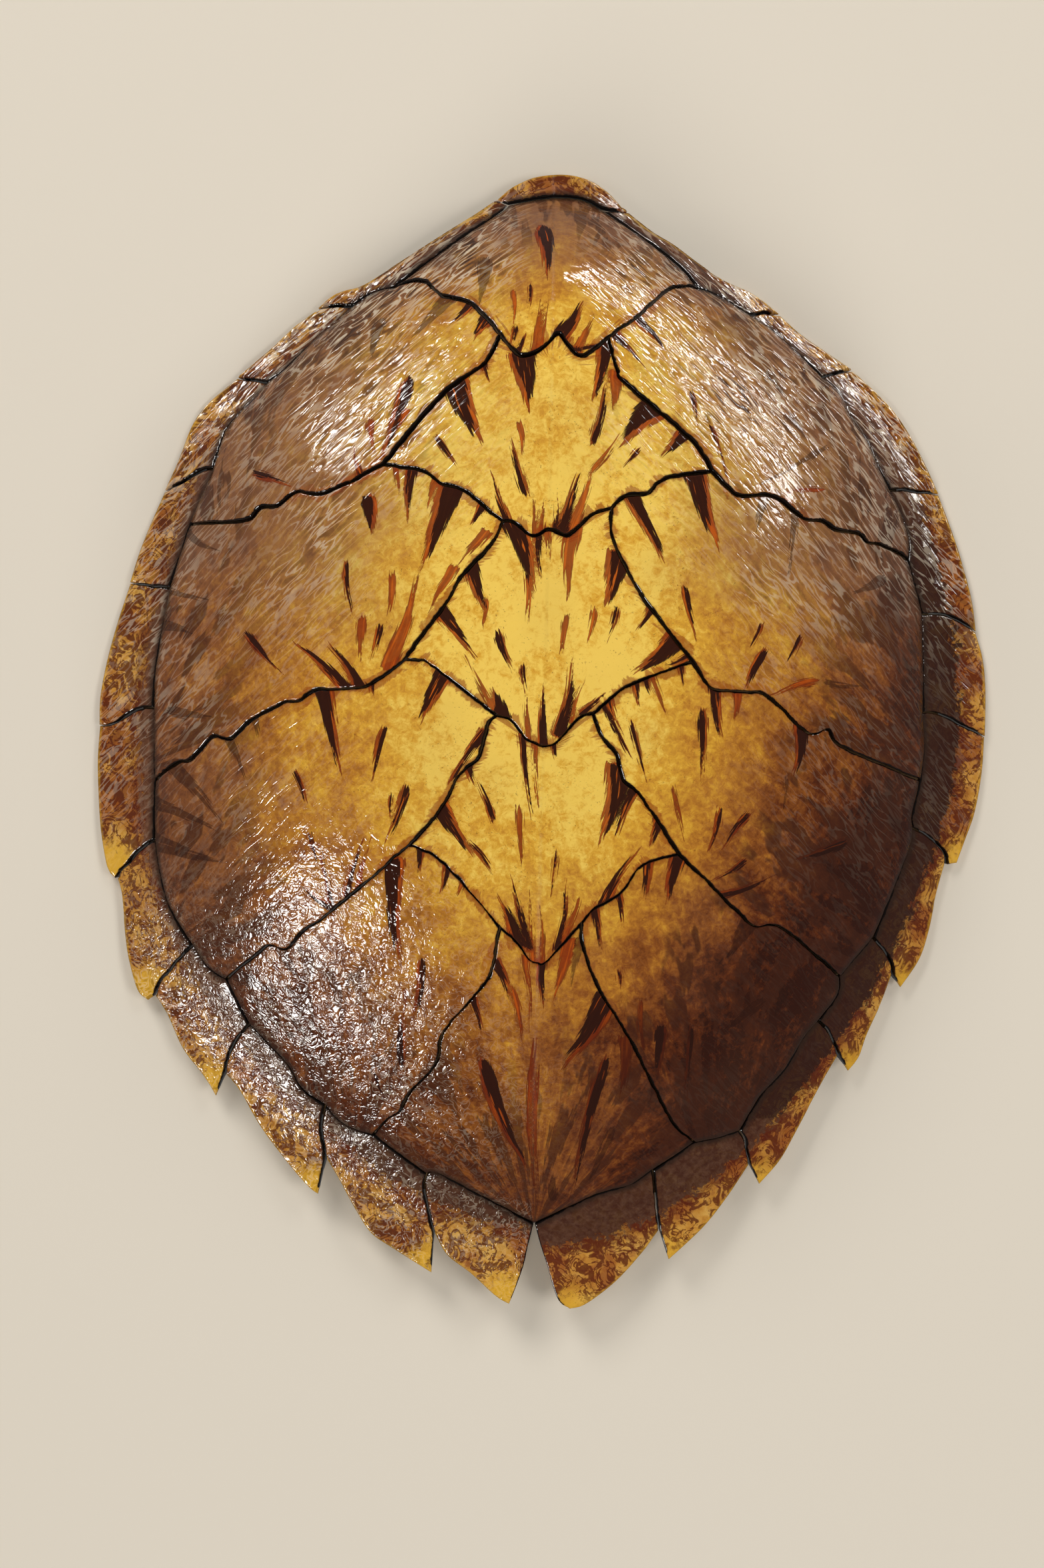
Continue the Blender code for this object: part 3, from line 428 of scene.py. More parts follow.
def spline(points, wander=0.0):
    """Smooth curve through the points, at SEAM_STEP. It strays a little, the same for both neighbours."""
    pts = np.array([points[0], *points, points[-1]], float)
    t = np.linspace(0, 1, CURVE_CUTS, endpoint=False)[:, None]
    runs = [0.5 * (2 * b + (c - a) * t + (2 * a - 5 * b + 4 * c - d) * t * t
                   + (3 * b - a - 3 * c + d) * t ** 3)
            for a, b, c, d in zip(pts, pts[1:], pts[2:], pts[3:])]
    fine = np.vstack(runs + [pts[-1:]])
    at = np.concatenate(([0], np.cumsum(np.hypot(*np.diff(fine, axis=0).T))))
    even = np.linspace(0, at[-1], max(2, round(at[-1] / SEAM_STEP)) + 1)
    path = np.column_stack((np.interp(even, at, fine[:, 0]), np.interp(even, at, fine[:, 1])))
    hold = np.minimum(1, np.minimum(even, at[-1] - even) / WANDER_FADE)[:, None] * wander
    shift = np.column_stack((ripple(path, WANDER_SIZE, 3), ripple(path, WANDER_SIZE, 4)))
    return path + shift * hold


def join(*paths):
    """One path from several that meet end to end."""
    return np.vstack([paths[0]] + [p[1:] for p in paths[1:]])


def around(*paths):
    """Closed outline from paths that follow each other; a path given backwards is turned."""
    out = [paths[0]]
    for path in paths[1:]:
        if math.dist(out[-1][-1], path[0]) > 0.01:
            path = path[::-1]
        out.append(path)
    return join(*out)[:-1]


J = JUNCTIONS
SEAM = {name: spline([J[a], *bends, J[b]], WANDER) for name, (a, bends, b) in SEAMS.items()}
NUCHAL_PATH = spline([J["l_nu"], *NUCHAL_SEAM, J["r_nu"]], WANDER / 2)
CROSS_PATH = {side + "_" + name: spline([J[side + "_" + name], *points], WANDER)
              for side, rows in CROSS.items() for name, points in zip(CROSS_NAMES, rows)}
RING_PARTS = {}             # by side, and in order from the nuchal to the tail
for side, parts in RING.items():
    corners = [J[name if name == "tail" else side + "_" + name] for name in RING_ORDER]
    RING_PARTS[side] = [spline([a, *bends, b], WANDER / 2)
                        for (_, *bends), a, b in zip(parts, corners, corners[1:])]


def ring_path(side, start, end):
    """The ring seam of one side between two junctions, towards the tail."""
    return join(*RING_PARTS[side][RING_ORDER.index(start):RING_ORDER.index(end)])


RING_SEAM = {side: ring_path(side, "nu", "tail") for side in "lr"}


def distance(p, path):
    """From each point to an open path."""
    a, d = path[:-1], np.diff(path, axis=0)
    long = (d * d).sum(axis=1)
    out = np.empty(len(p))
    for k in range(0, len(p), CHUNK):
        v = p[k:k + CHUNK, None, :] - a[None]
        t = np.clip((v * d).sum(axis=2) / long, 0, 1)
        out[k:k + CHUNK] = np.sqrt(((v - t[..., None] * d) ** 2).sum(axis=2).min(axis=1))
    return out


def inside(p, loop):
    """Which points lie inside the loop."""
    a, b = loop, np.roll(loop, -1, axis=0)
    rise = np.where(b[:, 1] == a[:, 1], 1e-9, b[:, 1] - a[:, 1])
    odd = np.zeros(len(p), bool)
    for k in range(0, len(p), CHUNK):
        x, y = p[k:k + CHUNK, 0, None], p[k:k + CHUNK, 1, None]
        cross = a[:, 0] + (y - a[:, 1]) * (b[:, 0] - a[:, 0]) / rise
        cuts = ((a[:, 1] > y) != (b[:, 1] > y)) & (x < cross)
        odd[k:k + CHUNK] = cuts.sum(axis=1) % 2 == 1
    return odd


def closed(loop):
    """The loop as a path that ends where it starts."""
    return np.vstack((loop, loop[:1]))


def inset(loop, gap):
    """The anticlockwise loop moved inwards by the gap, less at its sharpest corners."""
    e = np.roll(loop, -1, axis=0) - loop
    e /= np.linalg.norm(e, axis=1)[:, None]
    n = np.column_stack((-e[:, 1], e[:, 0]))
    n = n + np.roll(n, 1, axis=0)
    return loop + n * (2 * gap / np.maximum((n * n).sum(axis=1), 0.8))[:, None]


def grid(loop, step, margin):
    """Staggered points inside the loop, clear of its edge."""
    lo, hi = loop.min(axis=0), loop.max(axis=0)
    rows = []
    for k, y in enumerate(np.arange(lo[1], hi[1], step * 0.866)):
        x = np.arange(lo[0] + step / 2 * (k % 2), hi[0], step)
        rows.append(np.column_stack((x, np.full(len(x), y))))
    p = np.vstack(rows)
    p = p[inside(p, loop)]
    return p[distance(p, closed(loop)) > margin]


def fill(loop, inner):
    """Triangles of the loop with the inner points; the loop's points come first."""
    points = [Vector(p) for p in np.vstack((loop, inner))]
    faces, origin = delaunay_2d_cdt(points, [], [list(range(len(loop)))], 1, 1e-6)[2:4]
    back = np.array([o[0] for o in origin])
    return back[np.array(faces)]


# ---------------------------------------------------------------- meshes
def piece(name, points, faces, values, material):
    """A smooth-shaded mesh that stands for the CAD node of its name, with values per vertex."""
    mesh = bpy.data.meshes.new(name + "_look")
    mesh.from_pydata(points * SCALE, [], faces)
    mesh.shade_smooth()
    mesh.materials.append(material)
    for key, value in values.items():
        kind = "FLOAT_VECTOR" if value.ndim == 2 else "FLOAT"
        made = mesh.attributes.new(key, kind, "POINT")
        made.data.foreach_set("vector" if value.ndim == 2 else "value", value.astype(np.float32).ravel())
    obj = bpy.data.objects.new(name + "_look", mesh)
    bpy.context.scene.collection.objects.link(obj)
    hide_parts(name)
    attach(obj, "root")


def closed_body(top, bottom, top_faces, bottom_faces, count):
    """Points and faces of a body from two sheets whose first count points are matching outlines."""
    shift = len(top)
    i = np.arange(count)
    j = np.roll(i, -1)
    wall = np.vstack((np.column_stack((i, shift + i, shift + j)), np.column_stack((i, shift + j, j))))
    faces = np.vstack((top_faces, bottom_faces[:, ::-1] + shift, wall))
    return np.vstack((top, bottom)), faces


def lip(d, r):
    """How far a rounded edge of radius r falls, at distance d from it."""
    t = 1 - np.clip(d / r, 0, 1)
    return r * (1 - np.sqrt(1 - t * t))


def rim_horn(p):
    """Thickness of a marginal: thin over the bone, thick where it wraps the bone's edge."""
    q = ring_fraction(p)
    t = SCUTE_FRONT + (RIM_HORN - SCUTE_FRONT) * smoothstep(0.55, 0.72, q)
    return t + (RIM_EDGE - RIM_HORN) * smoothstep(0.85, 1.1, q)


def keel(p):
    """Height of the low ridge along the middle of the back."""
    ends = smoothstep(*KEEL_ENDS[:2], p[:, 1]) * (1 - smoothstep(*KEEL_ENDS[2:], p[:, 1]))
    return KEEL_HEIGHT * np.exp(-(p[:, 0] / KEEL_WIDTH) ** 2) * ends


# ---------------------------------------------------------------- what the finish reads at each vertex
TONE_Y = (-300, -240, -165, -90, -20, 80, 170, 235, 300, 335)       # places along the midline, and there:
TONE_PEAK = (0.30, 0.43, 0.56, 0.82, 0.97, 1.0, 0.95, 0.82, 0.54, 0.44)     # how golden it is
TONE_FALL_LEFT = (6.0, 5.0, 4.3, 3.9, 3.6, 3.5, 3.6, 4.0, 4.4, 4.4)     # loss per metre outwards
TONE_FALL_RIGHT = (10.5, 10.0, 8.8, 7.2, 5.3, 3.9, 3.6, 3.8, 4.2, 4.2)
GOLD_HALF_WIDTH = 50.0      # no loss within this of the midline
RING_SHADE = 0.75           # share of the gold lost along the right ring seam


def tone(p):
    """How golden the horn is: 1 along the middle of the back, 0 where it is darkest."""
    x, y = p[:, 0], p[:, 1]
    fall = np.where(x < 0, np.interp(y, TONE_Y, TONE_FALL_LEFT), np.interp(y, TONE_Y, TONE_FALL_RIGHT))
    full = GOLD_HALF_WIDTH * smoothstep(-260, np.where(x < 0, -60, 60), y)
    out = 1 - fall * np.maximum(np.abs(x) - full, 0) / 1000
    t = np.interp(y, TONE_Y, TONE_PEAK) * np.maximum(out, 0)
    ring = np.where(x > 0, distance(p, RING_SEAM["r"]), 400)
    shade = (1 - smoothstep(8, 34, ring + 9 * ripple(p, 22, 5))) * smoothstep(-200, -60, y)
    t *= 1 - RING_SHADE * shade * smoothstep(190, 130, y)
    return t + 0.05 * ripple(p, 34, 1) + 0.04 * ripple(p, 13, 2)


def haze(p):
    """Painted sheen: a grey painted reflection on the horn towards the head and the outer front."""
    x, y = p[:, 0], p[:, 1]
    head = smoothstep(235, 320, y + 0.3 * np.abs(x))
    side = smoothstep(40, 140, np.abs(x)) * smoothstep(20, 130, y)
    left = 0.4 * smoothstep(-130, -210, x) * smoothstep(-230, -120, y)
    return np.clip(np.maximum.reduce([head, side, left]) + 0.15 * ripple(p, 30, 6), 0, 1)


def wrinkles(p):
    """Strength of the fine diagonal wrinkles."""
    x, y = p[:, 0], p[:, 1]
    front = smoothstep(60, 200, y) * smoothstep(5, 45, np.abs(x))
    sides = smoothstep(70, 130, np.abs(x)) * smoothstep(-180, 60, y)
    patches = 0.75 + 0.4 * ripple(p, 40, 7)
    return np.clip(np.maximum(front, 0.6 * sides) * patches, 0.05, 1)


def crinkles(p):
    """Strength of the crumpled skin of the rear, strongest on the left."""
    x, y = p[:, 0], p[:, 1]
    left = np.exp(-((x + 120) ** 2 + (y + 140) ** 2) / 75 ** 2)
    left += 0.8 * np.exp(-((x + 55) ** 2 + (y + 215) ** 2) / 45 ** 2)
    ring = smoothstep(-60, -140, y) * smoothstep(-0.2, 0.1, ring_fraction(p)) * (x < 0)
    return np.clip(np.maximum(left, ring) * (0.85 + 0.3 * ripple(p, 30, 8)), 0, 1)


SKEW = math.sin(math.radians(45))


def weave(p):
    """Coordinates along and across the wrinkles, which run outwards and back from the midline."""
    x = np.sqrt(p[:, 0] ** 2 + 15 ** 2)
    return np.column_stack((SKEW * (x - p[:, 1]), SKEW * (x + p[:, 1]), np.where(p[:, 0] < 0, 0.0, 90.0)))


FAN_SPOKES = 9.0            # how many strokes go round a growth centre
FAN_LENGTH = 45.0           # and how long they are


def fan(p, centre):
    """Coordinates round a scute's growth centre, for strokes that radiate from it."""
    d = p - centre
    r = np.hypot(d[:, 0], d[:, 1]) + 1e-6
    return np.column_stack((FAN_SPOKES * d[:, 0] / r, FAN_SPOKES * d[:, 1] / r, r / FAN_LENGTH))


MARK_REACH = 8.0            # a mark that starts this near a seam grows out of it
MARK_BOW = 0.05             # most it bends, to its length
MARK_LEAN = 0.15            # its fringe leans to one side by this share of its width,
MARK_FRINGE = 1.4           # is wider by this
MARK_PAST = 1.2             # and runs on past the tip, to this share of its length
FAINT_FRINGE = 1.5          # a faint mark's fringe is narrower by this
FAINT_STRENGTH = 0.5
FAR = -30.0                 # depth where there is no mark
DEPTH_FLOOR = -12.0         # deepest that is passed to the finish


def marks(p, rows, outline, seed):
    """Depth inside the nearest painted mark and inside its fringe, how strong it is, and its grain."""
    rng = np.random.default_rng(seed)
    core = np.full(len(p), FAR)
    fringe = np.full(len(p), FAR)
    strength = np.ones(len(p))
    grain = np.zeros((len(p), 3))
    for k, (x0, y0, x1, y1, width, *kind) in enumerate(rows):
        base, d = np.array((x0, y0), float), np.array((x1 - x0, y1 - y0), float)
        long = math.hypot(*d)
        bow, lean = rng.uniform(-MARK_BOW, MARK_BOW), rng.choice((-1, 1))
        u = (p - base) @ d / long ** 2
        v = ((p[:, 0] - x0) * d[1] - (p[:, 1] - y0) * d[0]) / long
        v = v + bow * long * np.sin(np.clip(u, 0, 1) * math.pi)
        gap = distance(base[None], outline)[0]
        rooted = gap < MARK_REACH

        def depth(v, half, start, end):
            """Depth inside a shape that tapers from half its width at start to nothing at end."""
            w = (u - start) / (end - start)
            blunt = 1.0 if rooted else np.sqrt(np.clip(w / 0.2, 0, 1))
            body = half * np.clip(1 - w, 0, 1) ** 0.9 * blunt - np.abs(v)
            past = np.maximum(np.maximum(w - 1, -w), 0) * long
            off = np.hypot(np.maximum(np.abs(v) - half * (w < 0), 0), past)
            return np.where((w > 0) & (w < 1), body, -off)

        start = -(gap + 2) / long if rooted else 0.0
        if "o" not in kind:
            core = np.maximum(core, depth(v, width / 2, start, 1.0))
        edge = depth(v - lean * MARK_LEAN * width, width * 0.5 + MARK_FRINGE, start - 0.02, MARK_PAST)
        if "p" in kind:
            edge = edge - FAINT_FRINGE
        near = edge > fringe
        fringe = np.where(near, edge, fringe)
        grain[near] = np.column_stack((u * long, v, np.full(len(p), 17.0 * k + seed)))[near]
        strength[near] = FAINT_STRENGTH if "p" in kind else 1.0
    return {"core": np.maximum(core, DEPTH_FLOOR), "fringe": np.maximum(fringe, DEPTH_FLOOR),
            "strength": strength, "grain": grain}


TIP_REACH = 44.0            # how far the pale colour reaches from a tooth's tip


def margin_values(p, tip):
    """What the finish of a marginal reads besides: its dark inner part and how pale its tip is."""
    x, y = p[:, 0], p[:, 1]
    reach = np.where(x < 0, 0.26 + 0.1 * smoothstep(-80, -220, y), 0.6)
    reach = reach - 0.15 * smoothstep(150, 260, y)
    inner = np.clip(0.5 + (reach - ring_fraction(p)) / 0.5, 0, 1)
    shade = np.where(x > 0, smoothstep(190, 110, y) * 0.95, 0.25 * smoothstep(-40, -180, y))
    shade = np.where(y < -230, 0.55, shade)
    pale = np.zeros(len(p))
    if tip is not None:
        pale = np.clip(1 - np.hypot(x - tip[0], y - tip[1]) / TIP_REACH, 0, 1) * np.where(x < 0, 1, 0.75)
    return {"inner": inner, "shade": shade, "tip": pale}


# ---------------------------------------------------------------- the horn
def scute(name, material, outline, front, rear, ring=None, centre=None, rim=None, tip=None):
    """A horny plate inside the outline, rising from its front edges to its rear ones, with rounded lips at
    the seams. It touches the ring seam along ring, and its strokes radiate from the centre; a marginal has
    a free rim, and from the sixth on a tip."""
    if (outline[:, 0] * np.roll(outline[:, 1], -1) - np.roll(outline[:, 0], -1) * outline[:, 1]).sum() < 0:
        outline = outline[::-1]
    loop = inset(outline, SEAM_GAP / 2)
    loop = loop[inside(loop, outline) & (distance(loop, closed(outline)) > 0.42 * SEAM_GAP)]
    border = closed(loop)
    rows = []
    for gap in LIP_ROWS:
        row = inset(loop, gap)
        rows.append(row[inside(row, loop) & (distance(row, border) > 0.9 * gap)])
    step = DISC_STEP if rim is None else RING_STEP
    top = np.vstack((loop, *rows, grid(loop, step, LIP_ROWS[-1] + 0.5 * step)))
    under = np.vstack((loop, *rows[:2], grid(loop, UNDER_STEP, UNDER_STEP * 0.6)))

    edge = distance(top, border)
    a = np.minimum.reduce([distance(top, path) for path in front])
    b = np.minimum.reduce([distance(top, path) for path in rear])
    free = np.full(len(top), NOWHERE) if rim is None else distance(top, rim)
    rise = SCUTE_RISE * (a / (a + b + 1e-6)) ** RISE_POWER
    at_rim = 1 - smoothstep(*RIM_BLEND, free - edge)
    offset = rise + keel(top) - lip(edge, SEAM_LIP) * (1 - at_rim) - lip(edge, RIM_EDGE / 2) * at_rim
    if ring is not None:
        offset -= CHANNEL_DEPTH * np.exp(-(distance(top, ring) / CHANNEL_WIDTH) ** 2)
    swell = sum(height * ripple(top, size, seed) for height, size, seed in SWELLS)
    pleat = ripple(weave(top)[:, :2] / (PLEAT_STRETCH, 1), PLEAT_SIZE, 13)
    crumple = ripple(top, CRUMPLE_SIZE, 14) * crinkles(top)
    offset += smoothstep(*CALM_EDGE, edge) * (swell + FOLD * wrinkles(top) * pleat + FOLD * crumple)

    thick = rim_horn(under) if rim is not None else np.full(len(under), SCUTE_FRONT)
    under_edge = distance(under, border)
    if rim is not None:
        near_rim = 1 - smoothstep(*RIM_BLEND, distance(under, rim) - under_edge)
        thick = thick - lip(under_edge, RIM_EDGE / 2) * near_rim
    points, faces = closed_body(on_dome(top, offset), on_dome(under, -thick),
                                fill(loop, top[len(loop):]), fill(loop, under[len(loop):]), len(loop))

    plan = np.vstack((top, under))
    beyond = np.full(len(under), NOWHERE)
    seams = np.concatenate((np.where(at_rim > 0.5, NOWHERE, edge), beyond))
    below = np.concatenate((np.zeros(len(top)), np.ones(len(under))))
    wall = slice(len(top), len(top) + len(loop))        # the walls of the seams are as dark as their lips
    seams[wall] = seams[:len(loop)]
    below[wall] = 0
    values = {"tone": tone(plan), "haze": haze(plan), "wrinkle": wrinkles(plan), "crinkle": crinkles(plan),
              "weave": weave(plan), "seam": np.clip(seams, 0, 12), "ring": ring_fraction(plan),
              "rim": np.concatenate((free, beyond)), "under": below,
              "fan": fan(plan, np.array(centre) if centre is not None else outline.mean(axis=0)),
              "channel": distance(plan, ring) if ring is not None else np.full(len(plan), NOWHERE),
              **marks(plan, MARKS.get(name, ()), border, len(top) % 97)}
    if rim is not None:
        values.update(margin_values(points[:, :2], tip))
    piece(name, points, faces, values, material)


# ---------------------------------------------------------------- the bony shield
def bone_depth(p):
    """Thickness of the bone with the ridges of the backbone and ribs below it."""
    x, y = p[:, 0], p[:, 1]
    taper = 1 - smoothstep(-0.6, BONE_REACH, ring_fraction(p))
    t = BONE_EDGE + (BONE - BONE_EDGE) * taper
    t += SPINE_RIDGE * np.exp(-(x / SPINE_WIDTH) ** 2) * taper * smoothstep(-285, -200, y)
    for start, sweep in zip(RIB_STARTS, RIB_SWEEPS):
        across = (y - start - sweep * np.abs(x)) / math.hypot(1, sweep)
        rib = RIB_RIDGE * (1 - 0.5 * np.minimum(np.abs(x) / 230, 1))        # half as high at its end
        t += rib * np.exp(-(across / RIB_WIDTH) ** 2) * taper
    return t


def bone_edge(count):
    """The bone's outline in count points: outside the ring seam, closer to it where the ring is narrow."""
    t = -2 * math.pi * np.arange(count) / count
    r, width = gauge(t)
    r = r + BONE_REACH * (width - 9) * 1.25
    return np.column_stack((CENTRE[0] + r * np.sin(t), CENTRE[1] + r * np.cos(t)))


def sutures(p):
    """Distance to the nearest suture of the bone: between the rib plates and beside the backbone."""
    x, y = p[:, 0], p[:, 1]
    teeth = 1.6 * ripple(p, 3.4, 21) + 2.5 * ripple(p, 14, 22)
    best = np.abs(np.abs(x) - 21 - teeth)
    for k in range(len(RIB_STARTS) - 1):
        start = (RIB_STARTS[k] + RIB_STARTS[k + 1]) / 2
        sweep = (RIB_SWEEPS[k] + RIB_SWEEPS[k + 1]) / 2
        best = np.minimum(best, np.abs(y - start - sweep * np.abs(x) + teeth))
    return best


def bony_shield(material):
    """The bone under the horn: plain above, where it is hidden, with its ridges and sutures below."""
    loop = bone_edge(760)
    rows = [inset(loop, gap) for gap in (0.6, 1.5)]
    above = np.vstack((loop, grid(loop, BONE_TOP_STEP, 5)))
    below = np.vstack((loop, *rows, grid(loop, BONE_STEP, 3)))
    top = SCUTE_FRONT + BONE_GAP
    gap = sutures(below)
    edge = distance(below, closed(loop))
    depth = bone_depth(below) - lip(edge, BONE_LIP) - SUTURE_DEPTH * np.exp(-(gap / 1.2) ** 2)
    depth += 0.25 * ripple(below, 18, 23) + 0.12 * ripple(below, 6, 24)
    points, faces = closed_body(on_dome(above, np.full(len(above), -top)), on_dome(below, -top - depth),
                                fill(loop, above[len(loop):]), fill(loop, below[len(loop):]), len(loop))
    values = {"suture": np.concatenate((np.zeros(len(above)), np.clip(gap, 0, 20))),
              "ridge": np.concatenate((np.zeros(len(above)), bone_depth(below) - BONE))}
    piece("bony_carapace", points, faces, values, material)


# ---------------------------------------------------------------- materials
def srgb(r, g, b):
    """A shader colour from the usual 0 to 255 values."""
    return tuple(v / 12.92 if v <= 0.04045 else ((v + 0.055) / 1.055) ** 2.4
                 for v in (r / 255, g / 255, b / 255)) + (1.0,)


class Finish:
    """A Principled material and short names for the nodes that it is made of."""

    def __init__(self, name):
        self.material = bpy.data.materials.new(name)
        self.material.use_nodes = True
        self.tree = self.material.node_tree
        self.shader = self.tree.nodes["Principled BSDF"]

    def node(self, kind, settings, values):
        """A new node; what it is given is linked or, if a plain value, set on its socket."""
        n = self.tree.nodes.new(kind)
        for key, value in settings.items():
            setattr(n, key, value)
        for key, value in values.items():
            if isinstance(value, bpy.types.NodeSocket):
                self.tree.links.new(value, n.inputs[key])
            elif value is not None:
                n.inputs[key].default_value = value
        return n

    def value(self, name):
        return self.node("ShaderNodeAttribute", {"attribute_name": name}, {}).outputs["Fac"]

    def vector(self, name):
        return self.node("ShaderNodeAttribute", {"attribute_name": name}, {}).outputs["Vector"]

    def place(self):
        """Object coordinates in mm."""
        own = self.node("ShaderNodeTexCoord", {}, {}).outputs["Object"]
        return self.stretch(own, (1000, 1000, 1000))

    def stretch(self, vector, by):
        return self.node("ShaderNodeVectorMath", {"operation": "MULTIPLY"}, {0: vector, 1: by}).outputs[0]

    def math(self, operation, a, b=None):
        return self.node("ShaderNodeMath", {"operation": operation}, {0: a, 1: b}).outputs[0]

    def add(self, a, b):
        return self.math("ADD", a, b)

    def times(self, a, b):
        return self.math("MULTIPLY", a, b)

    def less(self, a, b):
        return self.math("SUBTRACT", a, b)

    def web(self, noise):
        """0 along the lines where the noise is at its middle, rising to both sides."""
        return self.math("ABSOLUTE", self.less(self.times(noise, 2), 1))

    def noise(self, vector, scale, detail=2.0, roughness=0.5, distortion=0.0):
        values = {"Vector": vector, "Scale": scale, "Detail": detail, "Roughness": roughness,
                  "Distortion": distortion}
        return self.node("ShaderNodeTexNoise", {}, values).outputs["Fac"]

    def swing(self, *settings):
        """Noise round 0."""
        return self.less(self.noise(*settings), 0.5)

    def ramp(self, value, low, high, start=0.0, end=1.0):
        """The value's way from low to high, smoothly, as start to end."""
        values = {"Value": value, "From Min": low, "From Max": high, "To Min": start, "To Max": end}
        return self.node("ShaderNodeMapRange", {"interpolation_type": "SMOOTHSTEP"}, values).outputs[0]

    def mix(self, factor, a, b):
        """Colour a turning into colour b; 6, 7 and 2 are the node's colour sockets."""
        return self.node("ShaderNodeMix", {"data_type": "RGBA"}, {"Factor": factor, 6: a, 7: b}).outputs[2]

    def palette(self, value, stops):
        """Colours at places from 0 to 1."""
        n = self.node("ShaderNodeValToRGB", {}, {"Fac": value})
        elements = n.color_ramp.elements
        while len(elements) < len(stops):
            elements.new(0.5)
        for element, (at, colour) in zip(elements, stops):
            element.position = at
            element.color = colour
        return n.outputs["Color"]

    def finish(self, colour, roughness, height):
        """Height is in mm."""
        bump = self.node("ShaderNodeBump", {}, {"Strength": 1.0, "Distance": 0.001, "Height": height})
        self.tree.links.new(colour, self.shader.inputs["Base Color"])
        self.tree.links.new(roughness, self.shader.inputs["Roughness"])
        self.tree.links.new(bump.outputs["Normal"], self.shader.inputs["Normal"])
        return self.material


GOLD_STOPS = ((0.0, srgb(52, 21, 10)), (0.22, srgb(98, 46, 18)), (0.45, srgb(146, 84, 32)),
              (0.66, srgb(190, 126, 42)), (0.84, srgb(222, 166, 54)), (1.0, srgb(244, 204, 92)))
HORN_IOR = 1.4
SEAM_BLACK = srgb(16, 9, 6)
SEAM_BROWN = srgb(84, 38, 16)
# painted shade in the soft channel along the ring seam
CHANNEL_SHADE = srgb(46, 32, 24)
CORE_DARK = srgb(44, 18, 9)
CORE_WARM = srgb(92, 36, 14)
RUST = srgb(142, 50, 12)
ORANGE = srgb(188, 80, 14)
# painted sheen: a grey painted reflection
SHEEN_GREY = srgb(134, 98, 74)
IVORY = srgb(206, 168, 88)
# pale wrinkle crests: partly wear, partly a painted highlight
WORN_AND_GLINT = srgb(240, 224, 198)
# darkening between the wrinkles: partly dirt, partly painted shade
DIRT_AND_SHADE = srgb(70, 42, 26)
RAY_BROWN = srgb(66, 32, 18)


def wrinkled(f, place, colour):
    """Height in mm of the wrinkles all horn shares, and the colour with them: pale crests that are partly
    wear and partly a painted highlight, and darkening between them that is partly dirt and partly painted
    shade.
    """
    height = f.add(f.times(f.noise(place, 0.7, 2), 0.05), f.times(f.noise(place, 0.11, 2), 0.45))
    patchy = f.ramp(f.noise(place, 0.035, 3), 0.36, 0.6, 0.35, 1.0)
    lines = f.noise(f.stretch(f.vector("weave"), (0.055, 0.26, 1)), 1.0, 1.5, 0.5, 0.6)
    curls = f.noise(place, 0.16, 1.5, 0.5, 1.6)
    for noise, strength, rise, wear_and_glint in (
            (lines, f.value("wrinkle"), -1.2, f.ramp(f.value("haze"), 0.0, 0.8, 0.15, 0.7)),
            (curls, f.value("crinkle"), -0.75, 0.3)):
        crest = f.web(noise)
        height = f.add(height, f.times(f.times(crest, strength), rise))
        # how strongly the pale crests (painted highlight, partly wear) and the dark valleys (painted shade,
        # partly dirt) show
        worn = f.times(f.times(strength, patchy), wear_and_glint)
        colour = f.mix(f.times(f.ramp(crest, 0.14, 0.36, 0.0, 1.5), worn), colour, DIRT_AND_SHADE)
        colour = f.mix(f.times(f.ramp(crest, 0.11, 0.04), worn), colour, WORN_AND_GLINT)
    return height, colour


def seam_shade(f, colour, place):
    """Black line in the seam, thick and thin along its way, a soft brown border beside it, and painted
    shade in the channel along the ring seam.
    """
    wide = f.ramp(f.noise(place, 0.045, 2), 0.35, 0.65, 0.4, 1.15)
    wobble = f.times(f.swing(place, 0.3, 3), 1.4)
    seam = f.math("DIVIDE", f.add(f.value("seam"), wobble), wide)
    colour = f.mix(f.ramp(seam, 1.5, 0.5, 0.0, 0.5), colour, SEAM_BROWN)
    # painted shade in the soft channel along the ring seam
    colour = f.mix(f.ramp(f.add(f.value("channel"), wobble), 5.0, 1.0, 0.0, 0.8), colour, CHANNEL_SHADE)
    return f.mix(f.ramp(seam, 0.9, 0.45), colour, SEAM_BLACK)


def varnished(f, colour, place, roughness, height):
    """What all horn ends with: its dark seams, the pale underside and the varnish."""
    colour = seam_shade(f, colour, place)
    colour = f.mix(f.value("under"), colour, IVORY)
    f.shader.inputs["IOR"].default_value = HORN_IOR
    return f.finish(colour, roughness, height)


